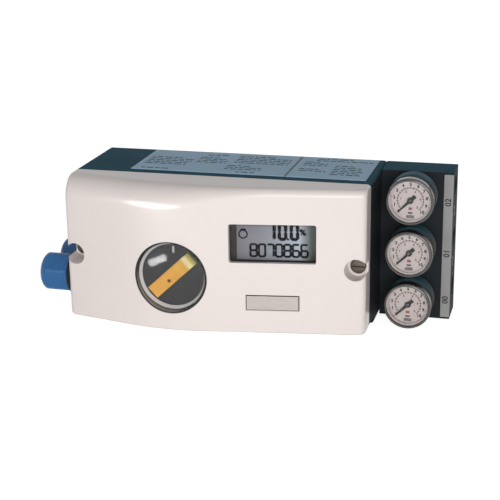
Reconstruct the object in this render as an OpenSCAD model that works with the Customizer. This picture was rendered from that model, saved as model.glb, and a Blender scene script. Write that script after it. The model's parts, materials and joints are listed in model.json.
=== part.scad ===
// Electro-pneumatic valve positioner with a three-gauge connection block.
// Every module works in housing coordinates, in millimetres: x from the left wall, y from the
// parting plane towards the rear, z from the underside. The part is then moved so that the origin
// lies on the feedback shaft's axis in the rear mounting face.

/* [Housing] */
// Width of the main housing
body_w = 208; // [200:1:216]
// Height of the main housing
body_h = 100; // [98:1:108]
// Depth of the housing behind the parting plane
body_d = 66; // [66:1:76]
// Thickness of the left, top and bottom walls
wall = 4; // [3.5:0.25:5]
// Thickness of the right wall, which carries the air ports
port_wall = 8; // [6:0.5:10]
// Thickness of the rear wall
back_wall = 5; // [4:0.5:7]
// Radius of the housing's four long edges
corner_r = 2.5; // [2:0.5:4]
// How far the rear base rail stands below the housing
rail_h = 6; // [4:0.5:9]
// Distance of the rail's front from the parting plane
rail_y = 20; // [14:1:28]
// Radius of the rail's long edges
rail_r = 5; // [3:0.5:6]

/* [Cover] */
// Wall thickness of the front cover
cover_wall = 3; // [2.5:0.25:4]
// Depth of the cover at its left edge
cover_left = 23; // [21:0.5:25]
// Depth of the cover at its right edge
cover_right = 16.7; // [15.5:0.1:18]
// Angle of the left flank in degrees
flank_angle = 12; // [11:0.5:13]
// Angle of the right face in degrees
slope_angle = 9.2; // [8.6:0.2:10]
// Radius of the crown between the two
crown_r = 146; // [120:2:160]
// Radius of the upper front edge at the left end and over the crown
top_left_r = 16; // [12:0.5:18]
// Radius of the upper front edge at the right end
top_right_r = 5; // [4:0.5:8]
// Radius of the lower front edge
low_edge_r = 1.8; // [1.2:0.1:3]
// Gap between cover and housing that the gasket closes
seal_gap = 0.4; // [0.2:0.1:0.8]
// Diameter of the pockets for the cover screws
pocket_d = 15; // [14:0.5:16.5]
// Distance of the cover screws from the side walls
screw_inset = 6.5; // [6:0.5:7]
// Height of the cover screws
screw_z = 46; // [42:0.5:50]

/* [Indicator] */
// Place of the feedback shaft along the housing, as a part of its width
shaft_part = 0.38; // [0.37:0.005:0.39]
// Height of the feedback shaft above the underside
shaft_z = 37.5; // [36:0.5:40]
// Diameter of the round window in the cover
indicator_d = 50.5; // [49:0.5:52]
// Length of the yellow pointer
pointer_l = 40; // [32:1:40]
// Width of the yellow pointer
pointer_w = 9.5; // [6:0.5:11]
// Angle of the pointer above the horizontal
pointer_angle = 43; // [30:1:60]

/* [Feedback shaft] */
// Diameter of the shaft where the lever is clamped
shaft_d = 10; // [8.5:0.5:11]
// Length of the shaft behind the housing
shaft_out = 25; // [18:1:35]
// Depth of the flat on the shaft's end
shaft_flat = 0.6; // [0.3:0.1:0.8]

/* [Display] */
// Place of the display's centre along the housing, as a part of its width
display_part = 0.709; // [0.705:0.002:0.713]
// Height of the display window's centre
display_z = 63; // [61:0.5:64]
// Width of the display window, as a part of the housing's width
display_w_part = 0.275; // [0.25:0.005:0.28]
// Height of the display window
display_h = 26.6; // [22:0.2:28]
// Depth of the display module in front of the panel, at its middle
display_depth = 11; // [9:0.5:12]

/* [Buttons] */
// Diameter of the push-buttons
button_d = 8; // [6:0.5:10]
// Distance between the push-buttons, as a part of the housing's width
button_part = 0.077; // [0.06:0.001:0.08]
// Height of the push-buttons above the underside
button_z = 26; // [22:1:30]
// Travel of a push-button
button_travel = 1; // [0.6:0.1:1]

/* [Gauge block] */
// Width of the gauge block
block_w = 49; // [44:1:56]
// Depth of the gauge block
block_d = 25; // [22:1:30]
// How far the block stands below the housing
block_drop = 5; // [2:0.5:6]
// Diameter of the female port threads, G1/4
port_d = 13.16; // [11:0.02:16.66]
// Depth of the port threads
port_depth = 12; // [10:0.5:15]

/* [Gauges] */
// Distance between the gauges, and between the ports
gauge_pitch = 36.3; // [34:0.1:38]
// Height of the middle gauge
gauge_z = 52; // [50:0.5:54]
// Distance of the gauges from the block's left face
gauge_x = 24.6; // [22:0.2:26]
// Diameter of the gauge cases behind the bezel
case_d = 28.6; // [27:0.2:29]
// Diameter of the bezel rings
bezel_d = 32; // [31:0.2:33]
// Diameter of the rear rim of the gauge cases
rim_d = 31.6; // [30:0.2:33]
// Depth of the gauge cases
case_l = 22; // [20:0.5:26]
// Length of a gauge in front of the block
gauge_l = 37; // [32:1:42]

/* [Cable glands] */
// Thread diameter of the cable glands
gland_d = 20; // [18:0.5:20]
// Width across flats of the gland's hexagon
gland_af = 26.5; // [25:0.5:28]
// Length of a gland outside the wall
gland_l = 34.5; // [34:0.5:40]
// Diameter of the cable hole in the rubber insert
cable_d = 9; // [6:0.5:10]
// Height of the glands above the underside
gland_z = 18.3; // [17.5:0.1:22]
// Distance of the front gland from the parting plane
gland_y = 14; // [14:0.5:15]
// Distance between the two glands
gland_pitch = 36.5; // [32:0.5:37]

/* [Rear mounting] */
// Hole spacing along the housing
mount_dx = 78; // [74:1:80]
// Hole spacing across the housing
mount_dz = 58; // [54:1:62]
// Diameter of the tapped holes, M8
mount_d = 8; // [6:0.5:8]
// Depth of the tapped holes
mount_depth = 10; // [8:1:12]

/* [Hidden] */
$fn = 48;

// Clearances
fit = 0.05;        // radial, between a turning shaft and its seat, or a screw and its thread
slide_fit = 0.15;  // radial, between a button and its hole
free_gap = 0.3;    // between pieces that move past each other
cut = 1;           // how far a cutter reaches past the surface that it cuts

// Housing
cavity_d = body_d - back_wall;
cavity_x1 = body_w - port_wall;
cavity_z1 = body_h - wall;
cavity_r = 2;
groove_in = 1;     // gasket groove, from the outer wall
groove_w = 2;
groove_r = 3;      // outer corner radius of the gasket groove
groove_d = 1.6;
cover_screw_d = 4;
cover_screw_l = 16;
screw_boss_l = 20;
screw_xs = [screw_inset, body_w - screw_inset];
ledge_y = 8;       // front of the ledges that carry the circuit board
ledge_d = 6;
ledge_h = 10;
board_in = 20;     // from the board's right edge to the right wall
board_lap = 23;    // from the shaft to the board's left edge
shaft_x = shaft_part * body_w;
board_x0 = shaft_x + board_lap;
board_x1 = body_w - board_in;
panel_screw_d = 3;
panel_head_d = 5.4;
panel_head_h = 2;
panel_screw_in = 6;
panel_screw_xs = [board_x0 + panel_screw_in, board_x1 - panel_screw_in];
panel_screw_zs = [wall + ledge_h / 2, body_h - wall - ledge_h / 2];
mount_xs = [shaft_x - mount_dx / 2, shaft_x + mount_dx / 2];
mount_zs = [body_h / 2 - mount_dz / 2, body_h / 2 + mount_dz / 2];
mount_boss_r = mount_d / 2 + 3.5;
mount_floor = 3;   // metal left beyond a tapped hole
vent_in = 48;      // from the vent to the right wall
vent_x = body_w - vent_in;
vent_z = 24;
vent_d = 10;
vent_head_d = 14;
vent_head_h = 3;
vent_hole_r = 0.8;
earth_y = body_d / 2;
earth_z = 70;
earth_d = 5;
earth_l = 8;

// Feedback shaft and what sits on it, along y
seal_h = 3;
seal_r = shaft_d / 2 + 3.5;
bush_l = 11;
bush_wall = 2;
bush_y = body_d - seal_h - bush_l;
journal_r = shaft_d / 2 + 0.5;  // in the bush and the seal
boss_y = bush_y - 2;
boss_r = seal_r + 2.5;
slim_r = shaft_d / 2 - 1;
tip_r = slim_r - 1;
sensor_l = 16;
sensor_r = 20;
sensor_y = boss_y - sensor_l;
plug_h = 5;        // connector on top of the sensor
plug_inset = 3;
front_bush_l = 8;
step_y = sensor_y + front_bush_l + 2;
wiper_h = 3;
wiper_r = 14;
wiper_y = sensor_y - wiper_h - 0.5;
clip_h = 1;
clip_y = wiper_y - clip_h - 0.2;
clip_groove = 0.6;
clip_w = 2.5;
disc_y = -26.5;    // rear face of the pointer disc
disc_h = 2;
disc_r = indicator_d / 2 - 2.75;
hub_l = 8;
hub_r = slim_r + 2;
pointer_h = 1.5;
tip_l = 7;         // bent end of the pointer
tip_rise = 1.6;
tip_flat = 2;

// Cover outline: two straight flanks joined by the crown arc
apex_x = (cover_right + body_w * tan(slope_angle) - cover_left) / (tan(flank_angle) + tan(slope_angle));
crown_tangent = crown_r * tan((flank_angle + slope_angle) / 2);
crown_x0 = apex_x - crown_tangent * cos(flank_angle);
crown_cx = crown_x0 + crown_r * sin(flank_angle);
crown_cy = cover_left + crown_x0 * tan(flank_angle) - crown_r * cos(flank_angle);
crown_lap = 3;     // degrees that the inner crown runs on into the flat faces
crown_rise = 0.1;  // how far it stands out of them there, so that they meet in one line
crown_x1 = crown_cx + crown_r * sin(slope_angle);
crown_steps = 25;
slope_steps = 8;
edge_steps = 8;
low_steps = 3;
side_r = 4.2;      // vertical edges of the cover
side_steps = 8;
blend_x0 = 0.3 * body_w;   // where the upper edge starts to get sharper
blend_x1 = 0.72 * body_w;  // where it has its right-hand radius
far = 60;          // past the cover's front
pocket_floor = 6;
screw_head_d = 10.5;
screw_head_h = 3;
slot_w = 1.2;
slot_d = 1.6;
window_r = 1.5;    // corner radius of the display window
pane_edge = 2.5;   // how far the pane laps behind the cover
pane_h = 2;
plate_w = 36;
plate_h = 11;
plate_z = 21.9;
plate_d = 0.9;
plate_recess = 0.5;

// Indicator window
bezel_rim = 0.8;   // wall of the bezel at its front
bezel_wall = 1.5;  // at the window
bezel_lip = 0.8;   // behind the window
bezel_lip_d = 1;
glass_y = -32.3;   // rear face of the round window
bezel_y = glass_y + bezel_lip_d;
collar_y = -27;    // rear end of the cover's collar round the disc
collar_wall = 2;
glass_h = 1.2;
glass_dome_r = 150;

// Display, panel and buttons
display_x = display_part * body_w;
display_w = display_w_part * body_w;
button_pitch = button_part * body_w;
plate_x = display_x;
panel_lap = 22;    // from the shaft to the panel's left edge
panel_x0 = shaft_x - panel_lap;
panel_x1 = board_x1;
panel_z0 = wall + 2;
panel_z1 = body_h - wall - 2;
panel_y = -3;
panel_h = 2;
leg_r = 3.6;
board_h = 1.6;
board_y = ledge_y - board_h;
frame_rim = 7;     // of the display module, round its glass
frame_y = panel_y - display_depth;
lcd_t = 1.4;
lcd_w = display_w + 1;
lcd_h = display_h + 3;
lcd_shift = 1.5;   // the glass lies this far right of the window's middle
button_l = 7;      // in front of the panel
button_flange = 1;
button_stem_r = 1.6;
switch_w = 6;
switch_h = 2;
chip_w = 14;
chip_t = 2;
plug_w = 24;
plug_t = 4;
button_xs = [for (i = [0:3]) display_x + (i - 1.5) * button_pitch];
terminal_x0 = 12;
terminal_w = 38;
terminal_h = 22;
terminal_d = 18;
terminal_y = 2;
terminal_n = 6;
terminal_well = 8;
terminal_head_d = 4.4;
terminal_head_h = 2;
wire_w = 4;
wire_depth = 8;

// Gauge block, gauges and their places
block_y = body_d - block_d;
block_z0 = -block_drop;
port_y = body_d - block_d / 2;
port_zs = [gauge_z - gauge_pitch, gauge_z, gauge_z + gauge_pitch];
block_screw_zs = [gauge_z - gauge_pitch / 2, gauge_z + gauge_pitch / 2];
channel_r = 3;
channel_l = 20;    // in the manifold
block_screw_d = 5;
block_head_d = 8.5;
block_head_h = 5;
block_key_d = 4.6;
block_thread = 12; // in the manifold
seal_ring_r = 5;
seal_cord_r = 0.9;
strip_w = 6.3;
strip_h = 0.6;
strip_end = 1.5;
gauge_cx = body_w + gauge_x;
gauge_y = block_y - gauge_l;
bezel_l = 5.5;
bezel_lip_h = 0.6;
bezel_lip_w = 0.3;
lens_h = 1.6;
lens_r = bezel_d / 2 - 1.6;
case_wall = 1;
dial_h = 0.6;
dial_in = 4.6;     // from the gauge's front to its dial
dial_y = gauge_y + dial_in;
needle_y = gauge_y + 3.3;
needle_h = 0.6;
needle_hub_r = 2.1;
needle_hub_h = 0.4;
needle_tip_w = 0.6;
needle_tail_w = 2.2;
needle_reach = 10.8;
needle_tail = 4.5;
spindle_r = 0.7;
stem_r = 4.86;
stem_l = 10;
stem_af = 14;
rim_l = 11;        // length of the rear rim of a case
rim_edge = 1;
stem_bore_r = 1.5;
tube_ring_r = 8.5; // Bourdon tube
tube_cord_r = 1.4;
tube_turn = 250;
bourdon_in = 8;    // from the dial to the tube
bourdon_y = dial_y + dial_h + bourdon_in;
plate_y0 = dial_y + dial_h + 3;  // plate that carries the needle's spindle
plate_y1 = plate_y0 + 2;
plate_half = 5;
post_half = 2;
socket_h = 6;
case_floor = 2;
case_y1 = gauge_y + case_l;

// Air manifold and current-to-pressure converter
manifold_w = 46;
manifold_x0 = cavity_x1 - manifold_w;
manifold_y0 = 22;
manifold_y1 = cavity_d - 1;
manifold_gap = 4;  // to the walls above and below
manifold_z0 = wall + manifold_gap;
manifold_z1 = body_h - wall - manifold_gap;
ip_w = 34;
ip_d = 26;
ip_h = 34;
ip_drop = 4;       // from the manifold's top
ip_z0 = manifold_z1 - ip_drop - ip_h;
ip_y0 = manifold_y0 + 3;
coil_r = 11;
coil_h = 6;

// Labels
label_h = 0.4;
label_x0 = 38;
label_split = display_x;
label_edge = 5;    // from the right label to the right wall
label_gap = 0.6;
label_y0 = 8;
label_y1 = body_d - 2;

// Glands
gland_ys = [gland_y, gland_y + gland_pitch];
gland_boss_l = 10;
gland_flange = 8;
gland_neck_r = gland_d / 2 - 1.5;
gland_neck_l = 16;
gland_bore_r = gland_d / 2 - 3.5;
gland_cap_gap = 0.5;
gland_dome_r = 7.5;
gland_mouth_r = cable_d / 2 + 1.1;
gland_end = 3;
insert_fit = 0.1;

// Shapes that repeat

// Flat outline in x and z, from y0 to y1
module along_y(y0, y1) {
    translate([0, y1, 0]) rotate([90, 0, 0]) linear_extrude(y1 - y0) children();
}

// Flat outline in y and z, from x0 to x1
module along_x(x0, x1) {
    translate([x0, 0, 0]) rotate([90, 0, 90]) linear_extrude(x1 - x0) children();
}

module rod_y(x, z, y0, y1, r) {
    translate([x, y0, z]) rotate([-90, 0, 0]) cylinder(h = y1 - y0, r = r);
}

module rod_x(y, z, x0, x1, r) {
    translate([x0, y, z]) rotate([0, 90, 0]) cylinder(h = x1 - x0, r = r);
}

module tube_y(x, z, y0, y1, r_out, r_in) {
    difference() {
        rod_y(x, z, y0, y1, r_out);
        rod_y(x, z, y0 - cut, y1 + cut, r_in);
    }
}

module block(low, high) {
    translate(low) cube(high - low);
}

module rounded_rect(w, h, r) {
    translate([r, 0]) square([w - 2 * r, h]);
    translate([0, r]) square([w, h - 2 * r]);
    for (x = [r, w - r], y = [r, h - r]) translate([x, y]) circle(r);
}

// Frame of the right-hand cover face: x along the face, y into the cover
module on_slope(x) {
    y = -cover_right - (body_w - x) * tan(slope_angle);
    translate([x, y, 0]) rotate([0, 0, slope_angle]) children();
}

// Frame of the display's front, which lies parallel to that face
module on_display() {
    translate([display_x + lcd_shift, frame_y, 0]) rotate([0, 0, slope_angle]) children();
}

module gasket_ring(y0, y1) {
    inner = groove_in + groove_w;
    along_y(y0, y1) difference() {
        translate([groove_in, groove_in])
            rounded_rect(body_w - 2 * groove_in, body_h - 2 * groove_in, groove_r);
        translate([inner, inner]) rounded_rect(body_w - 2 * inner, body_h - 2 * inner, groove_r - groove_w);
    }
}

// Housing

module base_rail() {
    intersection() {
        along_y(rail_y, body_d) translate([0, -rail_h]) rounded_rect(body_w, body_h / 2, rail_r);
        along_x(0, body_w) {
            translate([rail_y + rail_r, -rail_h]) square([body_d - rail_y - rail_r, rail_h + wall]);
            translate([rail_y, rail_r - rail_h]) square([rail_r, rail_h + wall - rail_r]);
            translate([rail_y + rail_r, rail_r - rail_h]) circle(rail_r);
        }
    }
}

module housing_bosses() {
    rod_y(shaft_x, shaft_z, boss_y, body_d - cut, boss_r);
    for (x = mount_xs, z = mount_zs)
        rod_y(x, z, body_d - mount_depth - mount_floor, body_d - cut, mount_boss_r);
    for (x = screw_xs) rod_y(x, screw_z, 0, screw_boss_l, screw_inset);
    for (y = gland_ys) rod_x(y, gland_z, cut, gland_boss_l, gland_d / 2 + 3);
    rod_x(earth_y, earth_z, cut, earth_l + cut, earth_d);
    for (z = [wall - cut, body_h - wall - ledge_h])
        block([board_x0, ledge_y, z], [cavity_x1 + cut, ledge_y + ledge_d, z + ledge_h + cut]);
}

module housing_holes() {
    gasket_ring(-cut, groove_d);
    rod_y(shaft_x, shaft_z, boss_y - cut, body_d + cut, journal_r + bush_wall);
    rod_y(shaft_x, shaft_z, body_d - seal_h, body_d + cut, seal_r);
    for (x = mount_xs, z = mount_zs) rod_y(x, z, body_d - mount_depth, body_d + cut, mount_d / 2);
    for (x = screw_xs) rod_y(x, screw_z, -cut, cover_screw_l + cut, cover_screw_d / 2 + fit);
    for (y = gland_ys) rod_x(y, gland_z, -cut, gland_boss_l + cut, gland_d / 2);
    rod_x(earth_y, earth_z, -cut, earth_l, earth_d / 2 + fit);
    for (z = port_zs) rod_x(port_y, z, cavity_x1 - cut, body_w + cut, channel_r);
    for (z = block_screw_zs) rod_x(port_y, z, cavity_x1 - cut, body_w + cut, block_screw_d / 2 + slide_fit);
    for (x = panel_screw_xs, z = panel_screw_zs)
        rod_y(x, z, ledge_y - cut, ledge_y + ledge_d - cut, panel_screw_d / 2 + fit);
    rod_y(vent_x, vent_z, cavity_d - cut, body_d + cut, vent_d / 2);
    rod_y(vent_x, vent_z, body_d - vent_head_h, body_d + cut, vent_head_d / 2);
}

module main_housing() {
    color("#1f272b") difference() {
        union() {
            difference() {
                union() {
                    along_y(0, body_d) rounded_rect(body_w, body_h, corner_r);
                    base_rail();
                }
                along_y(-cut, cavity_d) translate([wall, wall])
                    rounded_rect(cavity_x1 - wall, cavity_z1 - wall, cavity_r);
            }
            housing_bosses();
        }
        housing_holes();
    }
}

module cover_gasket() {
    color("#111111") gasket_ring(-seal_gap, groove_d);
}

module screw_y(x, z, y_head, head_d, head_h, d, l) {
    difference() {
        union() {
            rod_y(x, z, y_head, y_head + head_h, head_d / 2);
            rod_y(x, z, y_head + head_h - cut, y_head + head_h + l, d / 2);
        }
        translate([x - head_d, y_head - cut, z - slot_w / 2]) cube([2 * head_d, slot_d + cut, slot_w]);
    }
}

module exhaust_vent() {
    color("#2b2f33") difference() {
        union() {
            rod_y(vent_x, vent_z, body_d - vent_head_h, body_d - fit, vent_head_d / 2 - fit);
            rod_y(vent_x, vent_z, cavity_d, body_d - vent_head_h + cut, vent_d / 2 - fit);
        }
        translate([vent_x, 0, vent_z]) for (a = [0:60:300])
            rotate([0, a, 0]) rod_y(vent_d / 4, 0, cavity_d - cut, body_d + cut, vent_hole_r);
    }
}

module earth_screw() {
    color("silver") difference() {
        union() {
            rod_x(earth_y, earth_z, -screw_head_h, 0, screw_head_d / 2);
            rod_x(earth_y, earth_z, -cut, earth_l - cut, earth_d / 2);
        }
        block([-screw_head_h - cut, earth_y - screw_head_d, earth_z - slot_w / 2],
              [-screw_head_h + slot_d, earth_y + screw_head_d, earth_z + slot_w / 2]);
    }
}

module top_label(x0, x1) {
    color("#9fb0bd") block([x0, label_y0, body_h], [x1, label_y1, body_h + label_h]);
}

// Feedback shaft and position sensor

module front_shaft_bush() {
    color("#b08d57")
        tube_y(shaft_x, shaft_z, sensor_y, sensor_y + front_bush_l, slim_r + bush_wall, slim_r + fit);
}

module rear_shaft_bush() {
    color("#b08d57")
        tube_y(shaft_x, shaft_z, bush_y, bush_y + bush_l, journal_r + bush_wall, journal_r + fit);
}

module shaft_seal() {
    color("#151515")
        tube_y(shaft_x, shaft_z, body_d - seal_h, body_d - free_gap, seal_r, journal_r + fit);
}

module position_sensor() {
    top = shaft_z + sensor_r + plug_h;
    color("#30363a") difference() {
        union() {
            rod_y(shaft_x, shaft_z, sensor_y, boss_y, sensor_r);
            block([shaft_x - sensor_r / 2, sensor_y + plug_inset, shaft_z],
                  [shaft_x + sensor_r / 2, boss_y, top]);
        }
        rod_y(shaft_x, shaft_z, sensor_y - cut, boss_y + cut, slim_r + bush_wall);
    }
}

module feedback_shaft() {
    r = shaft_d / 2;
    end_y = body_d + shaft_out;
    chamfer = 1;
    color("#c9ccd0") difference() {
        translate([shaft_x, 0, shaft_z]) rotate([-90, 0, 0]) rotate_extrude() polygon([
            [0, disc_y], [tip_r, disc_y], [tip_r, disc_y + hub_l], [slim_r, disc_y + hub_l],
            [slim_r, clip_y], [slim_r - clip_groove, clip_y], [slim_r - clip_groove, clip_y + clip_h],
            [slim_r, clip_y + clip_h], [slim_r, step_y], [journal_r, step_y], [journal_r, body_d - free_gap],
            [r, body_d - free_gap], [r, end_y - chamfer], [r - chamfer, end_y], [0, end_y]
        ]);
        block([shaft_x - shaft_d, body_d + shaft_out / 2, shaft_z + r - shaft_flat],
              [shaft_x + shaft_d, end_y + cut, shaft_z + shaft_d]);
    }
}

module pointer_disc() {
    color("#1a1a1a") difference() {
        union() {
            rod_y(shaft_x, shaft_z, disc_y - disc_h, disc_y, disc_r);
            rod_y(shaft_x, shaft_z, disc_y - cut, disc_y + hub_l, hub_r);
        }
        rod_y(shaft_x, shaft_z, disc_y, disc_y + hub_l + cut, tip_r + fit);
    }
}

module position_pointer() {
    half = pointer_l / 2;
    back = disc_y - disc_h;
    front = back - pointer_h;
    color("#f2b632") translate([shaft_x, 0, shaft_z]) rotate([0, -pointer_angle, 0])
        translate([0, 0, -pointer_w / 2]) linear_extrude(pointer_w) polygon([
            [-half, back], [half, back], [half, front - tip_rise], [half - tip_flat, front - tip_rise],
            [half - tip_l, front], [-half, front]
        ]);
}

module sensor_wiper() {
    color("#c2a05a") difference() {
        union() {
            rod_y(shaft_x, shaft_z, wiper_y, wiper_y + wiper_h, hub_r);
            intersection() {
                rod_y(shaft_x, shaft_z, wiper_y + wiper_h / 2, wiper_y + wiper_h, wiper_r);
                block([shaft_x - slim_r, wiper_y, shaft_z],
                      [shaft_x + slim_r, wiper_y + wiper_h, shaft_z + wiper_r]);
            }
        }
        rod_y(shaft_x, shaft_z, wiper_y - cut, wiper_y + wiper_h + cut, slim_r + fit);
    }
}

module shaft_clip() {
    color("#70757a") difference() {
        tube_y(shaft_x, shaft_z, clip_y + fit, clip_y + clip_h - fit, slim_r + clip_w,
               slim_r - clip_groove + fit);
        block([shaft_x - slim_r / 2, clip_y - cut, shaft_z - 2 * slim_r - clip_w],
              [shaft_x + slim_r / 2, clip_y + clip_h + cut, shaft_z]);
    }
}

// Electronics behind and under the cover

// Piece soldered to the front of the board: its centre, its width, height and thickness
module board_piece(x, z, w, h, t) {
    block([x - w / 2, board_y - t, z - h / 2], [x + w / 2, board_y + board_h / 2, z + h / 2]);
}

module circuit_board() {
    color("#1e6b3c") difference() {
        union() {
            block([board_x0, board_y, wall + cut], [board_x1, ledge_y, body_h - wall - cut]);
            for (x = button_xs) board_piece(x, button_z, switch_w, switch_w, switch_h);
            board_piece(display_x - 2 * chip_w, display_z, chip_w, chip_w, chip_t);
            board_piece(display_x - chip_w / 2, display_z, 0.7 * chip_w, 0.6 * chip_w, 0.8 * chip_t);
            board_piece(display_x + plug_w, display_z, plug_w, plug_w / 4, plug_t);
        }
        for (x = panel_screw_xs, z = panel_screw_zs)
            rod_y(x, z, board_y - cut, ledge_y + cut, panel_screw_d / 2 + slide_fit);
    }
}

module operator_panel() {
    color("#aeb4b8") difference() {
        union() {
            along_y(panel_y, panel_y + panel_h) translate([panel_x0, panel_z0])
                rounded_rect(panel_x1 - panel_x0, panel_z1 - panel_z0, 3);
            for (x = panel_screw_xs, z = panel_screw_zs) rod_y(x, z, panel_y, board_y, leg_r);
        }
        rod_y(shaft_x, shaft_z, panel_y - cut, panel_y + panel_h + cut, hub_r + 2);
        for (x = button_xs)
            rod_y(x, button_z, panel_y - cut, panel_y + panel_h + cut, button_d / 2 + slide_fit);
        for (x = panel_screw_xs, z = panel_screw_zs)
            rod_y(x, z, panel_y - cut, board_y + cut, panel_screw_d / 2 + slide_fit);
    }
}

module panel_screws() {
    l = ledge_y + ledge_d - panel_y - 2 * cut;
    color("silver") for (x = panel_screw_xs, z = panel_screw_zs)
        screw_y(x, z, panel_y - panel_head_h, panel_head_d, panel_head_h, panel_screw_d, l);
}

module display_frame() {
    w = lcd_w + 2 * frame_rim;
    h = lcd_h + 2 * frame_rim;
    x0 = display_x + lcd_shift - w / 2;
    color("#2a2d30") difference() {
        intersection() {
            along_y(panel_y - far, panel_y) translate([x0, display_z - h / 2]) rounded_rect(w, h, 2);
            on_display() translate([-far, 0, 0]) cube([2 * far, far, body_h]);
        }
        on_display() translate([-lcd_w / 2, -cut, display_z - lcd_h / 2])
            cube([lcd_w, cut + lcd_t, lcd_h]);
    }
}

module display_glass() {
    color("#a9b4bd") on_display() translate([-lcd_w / 2, 0, display_z - lcd_h / 2])
        cube([lcd_w, lcd_t, lcd_h]);
}

module button(i) {
    x = button_xs[i];
    front = panel_y - button_l;
    under = panel_y + panel_h;
    color("#4b5560") {
        rod_y(x, button_z, front, under + button_flange, button_d / 2);
        rod_y(x, button_z, under + fit, under + button_flange, button_d / 2 + 1);
        rod_y(x, button_z, under, board_y - switch_h - button_travel - free_gap, button_stem_r);
    }
}

module terminal_block() {
    step = terminal_w / terminal_n;
    z0 = cavity_z1 - terminal_h;
    color("#5d8a4c") difference() {
        block([terminal_x0, terminal_y, z0], [terminal_x0 + terminal_w, terminal_y + terminal_d, cavity_z1]);
        for (i = [0:terminal_n - 1]) translate([terminal_x0 + (i + 0.5) * step, terminal_y, z0]) {
            rod_y(0, terminal_h / 2, -cut, terminal_well, terminal_head_d / 2 + 2 * fit);
            translate([-wire_w / 2, terminal_well - wire_w, -cut]) cube([wire_w, wire_w, cut + wire_depth]);
        }
    }
}

module terminal_screws() {
    step = terminal_w / terminal_n;
    z = cavity_z1 - terminal_h / 2;
    y = terminal_y + terminal_well - 2 * terminal_head_h;
    color("silver") for (i = [0:terminal_n - 1])
        screw_y(terminal_x0 + (i + 0.5) * step, z, y, terminal_head_d, terminal_head_h, terminal_head_d / 2,
                terminal_head_h);
}

// Air path

module air_manifold() {
    color("#6f767c") difference() {
        block([manifold_x0, manifold_y0, manifold_z0], [cavity_x1, manifold_y1, manifold_z1]);
        for (z = port_zs) rod_x(port_y, z, cavity_x1 - channel_l, cavity_x1 + cut, channel_r);
        for (z = block_screw_zs)
            rod_x(port_y, z, cavity_x1 - block_thread, cavity_x1 + cut, block_screw_d / 2 + fit);
    }
}

module ip_converter() {
    x0 = manifold_x0 - ip_w;
    color("#8d8f92") {
        block([x0, ip_y0, ip_z0], [manifold_x0, ip_y0 + ip_d, ip_z0 + ip_h]);
        rod_y(x0 + ip_w / 2, ip_z0 + ip_h / 2, ip_y0 - coil_h, ip_y0 + cut, coil_r);
    }
}

module gauge_block() {
    x1 = body_w + block_w;
    groove_half = seal_cord_r + fit;
    color("#22282b") difference() {
        block([body_w, block_y, block_z0], [x1, body_d, body_h]);
        for (z = port_zs) {
            rod_x(port_y, z, body_w - cut, x1, channel_r);
            rod_x(port_y, z, x1 - port_depth, x1 + cut, port_d / 2);
            rod_y(gauge_cx, z, block_y - cut, block_y + stem_l, stem_r);
            rod_y(gauge_cx, z, block_y, port_y, stem_bore_r);
            translate([body_w, port_y, z]) rotate([0, 90, 0]) rotate_extrude()
                translate([seal_ring_r - groove_half, -cut]) square([2 * groove_half, cut + 2 * seal_cord_r]);
        }
        for (z = block_screw_zs) {
            rod_x(port_y, z, body_w - cut, x1, block_screw_d / 2 + slide_fit);
            rod_x(port_y, z, x1 - block_head_h, x1 + cut, block_head_d / 2 + slide_fit);
        }
    }
}

module block_screws() {
    head_x = body_w + block_w - block_head_h;
    color("silver") for (z = block_screw_zs) difference() {
        union() {
            rod_x(port_y, z, head_x, head_x + block_head_h - free_gap, block_head_d / 2);
            rod_x(port_y, z, cavity_x1 - block_thread + cut, head_x + cut, block_screw_d / 2);
        }
        translate([head_x + block_head_h / 2, port_y, z]) rotate([0, 90, 0])
            cylinder(h = block_head_h, d = block_key_d, $fn = 6);
    }
}

module port_seals() {
    color("#151515") for (z = port_zs) translate([body_w + seal_cord_r, port_y, z]) rotate([0, 90, 0])
        rotate_extrude() translate([seal_ring_r, 0]) circle(seal_cord_r - fit / 2);
}

module port_label_strip() {
    x1 = body_w + block_w;
    color("#a8adb0") block([x1 - strip_w, block_y - strip_h, block_z0 + strip_end],
                           [x1, block_y, body_h - strip_end]);
}

// Gauges, each placed by its height

module gauge_case(z) {
    r = case_d / 2;
    rim_r = rim_d / 2;
    rim_y = case_y1 - rim_l;
    color("#8b9094") difference() {
        union() {
            rod_y(gauge_cx, z, gauge_y + lens_h, case_y1 - cut, r);
            translate([gauge_cx, 0, z]) rotate([-90, 0, 0]) rotate_extrude() polygon([
                [0, rim_y], [rim_r - rim_edge, rim_y], [rim_r, rim_y + rim_edge], [rim_r, case_y1 - rim_edge],
                [rim_r - rim_edge, case_y1], [0, case_y1]
            ]);
            translate([gauge_cx, case_y1 - cut, z]) rotate([-90, 0, 0])
                cylinder(h = block_y - case_y1 + cut, d = stem_af / cos(30), $fn = 6);
            rod_y(gauge_cx, z, block_y - cut, block_y + stem_l - free_gap, stem_r - fit);
        }
        rod_y(gauge_cx, z, gauge_y - cut, dial_y + dial_h, r - case_wall);
        rod_y(gauge_cx, z, gauge_y, case_y1 - case_floor, r - 2 * case_wall);
        rod_y(gauge_cx, z, case_y1 - case_floor - cut, block_y + stem_l, stem_bore_r);
    }
}

module gauge_dial(z) {
    r = case_d / 2 - case_wall - fit;
    color("#f1ece6") tube_y(gauge_cx, z, dial_y, dial_y + dial_h, r, spindle_r + slide_fit);
}

module gauge_lens(z) {
    color("#dfe7ea") rod_y(gauge_cx, z, gauge_y + fit, gauge_y + lens_h, lens_r);
}

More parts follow.
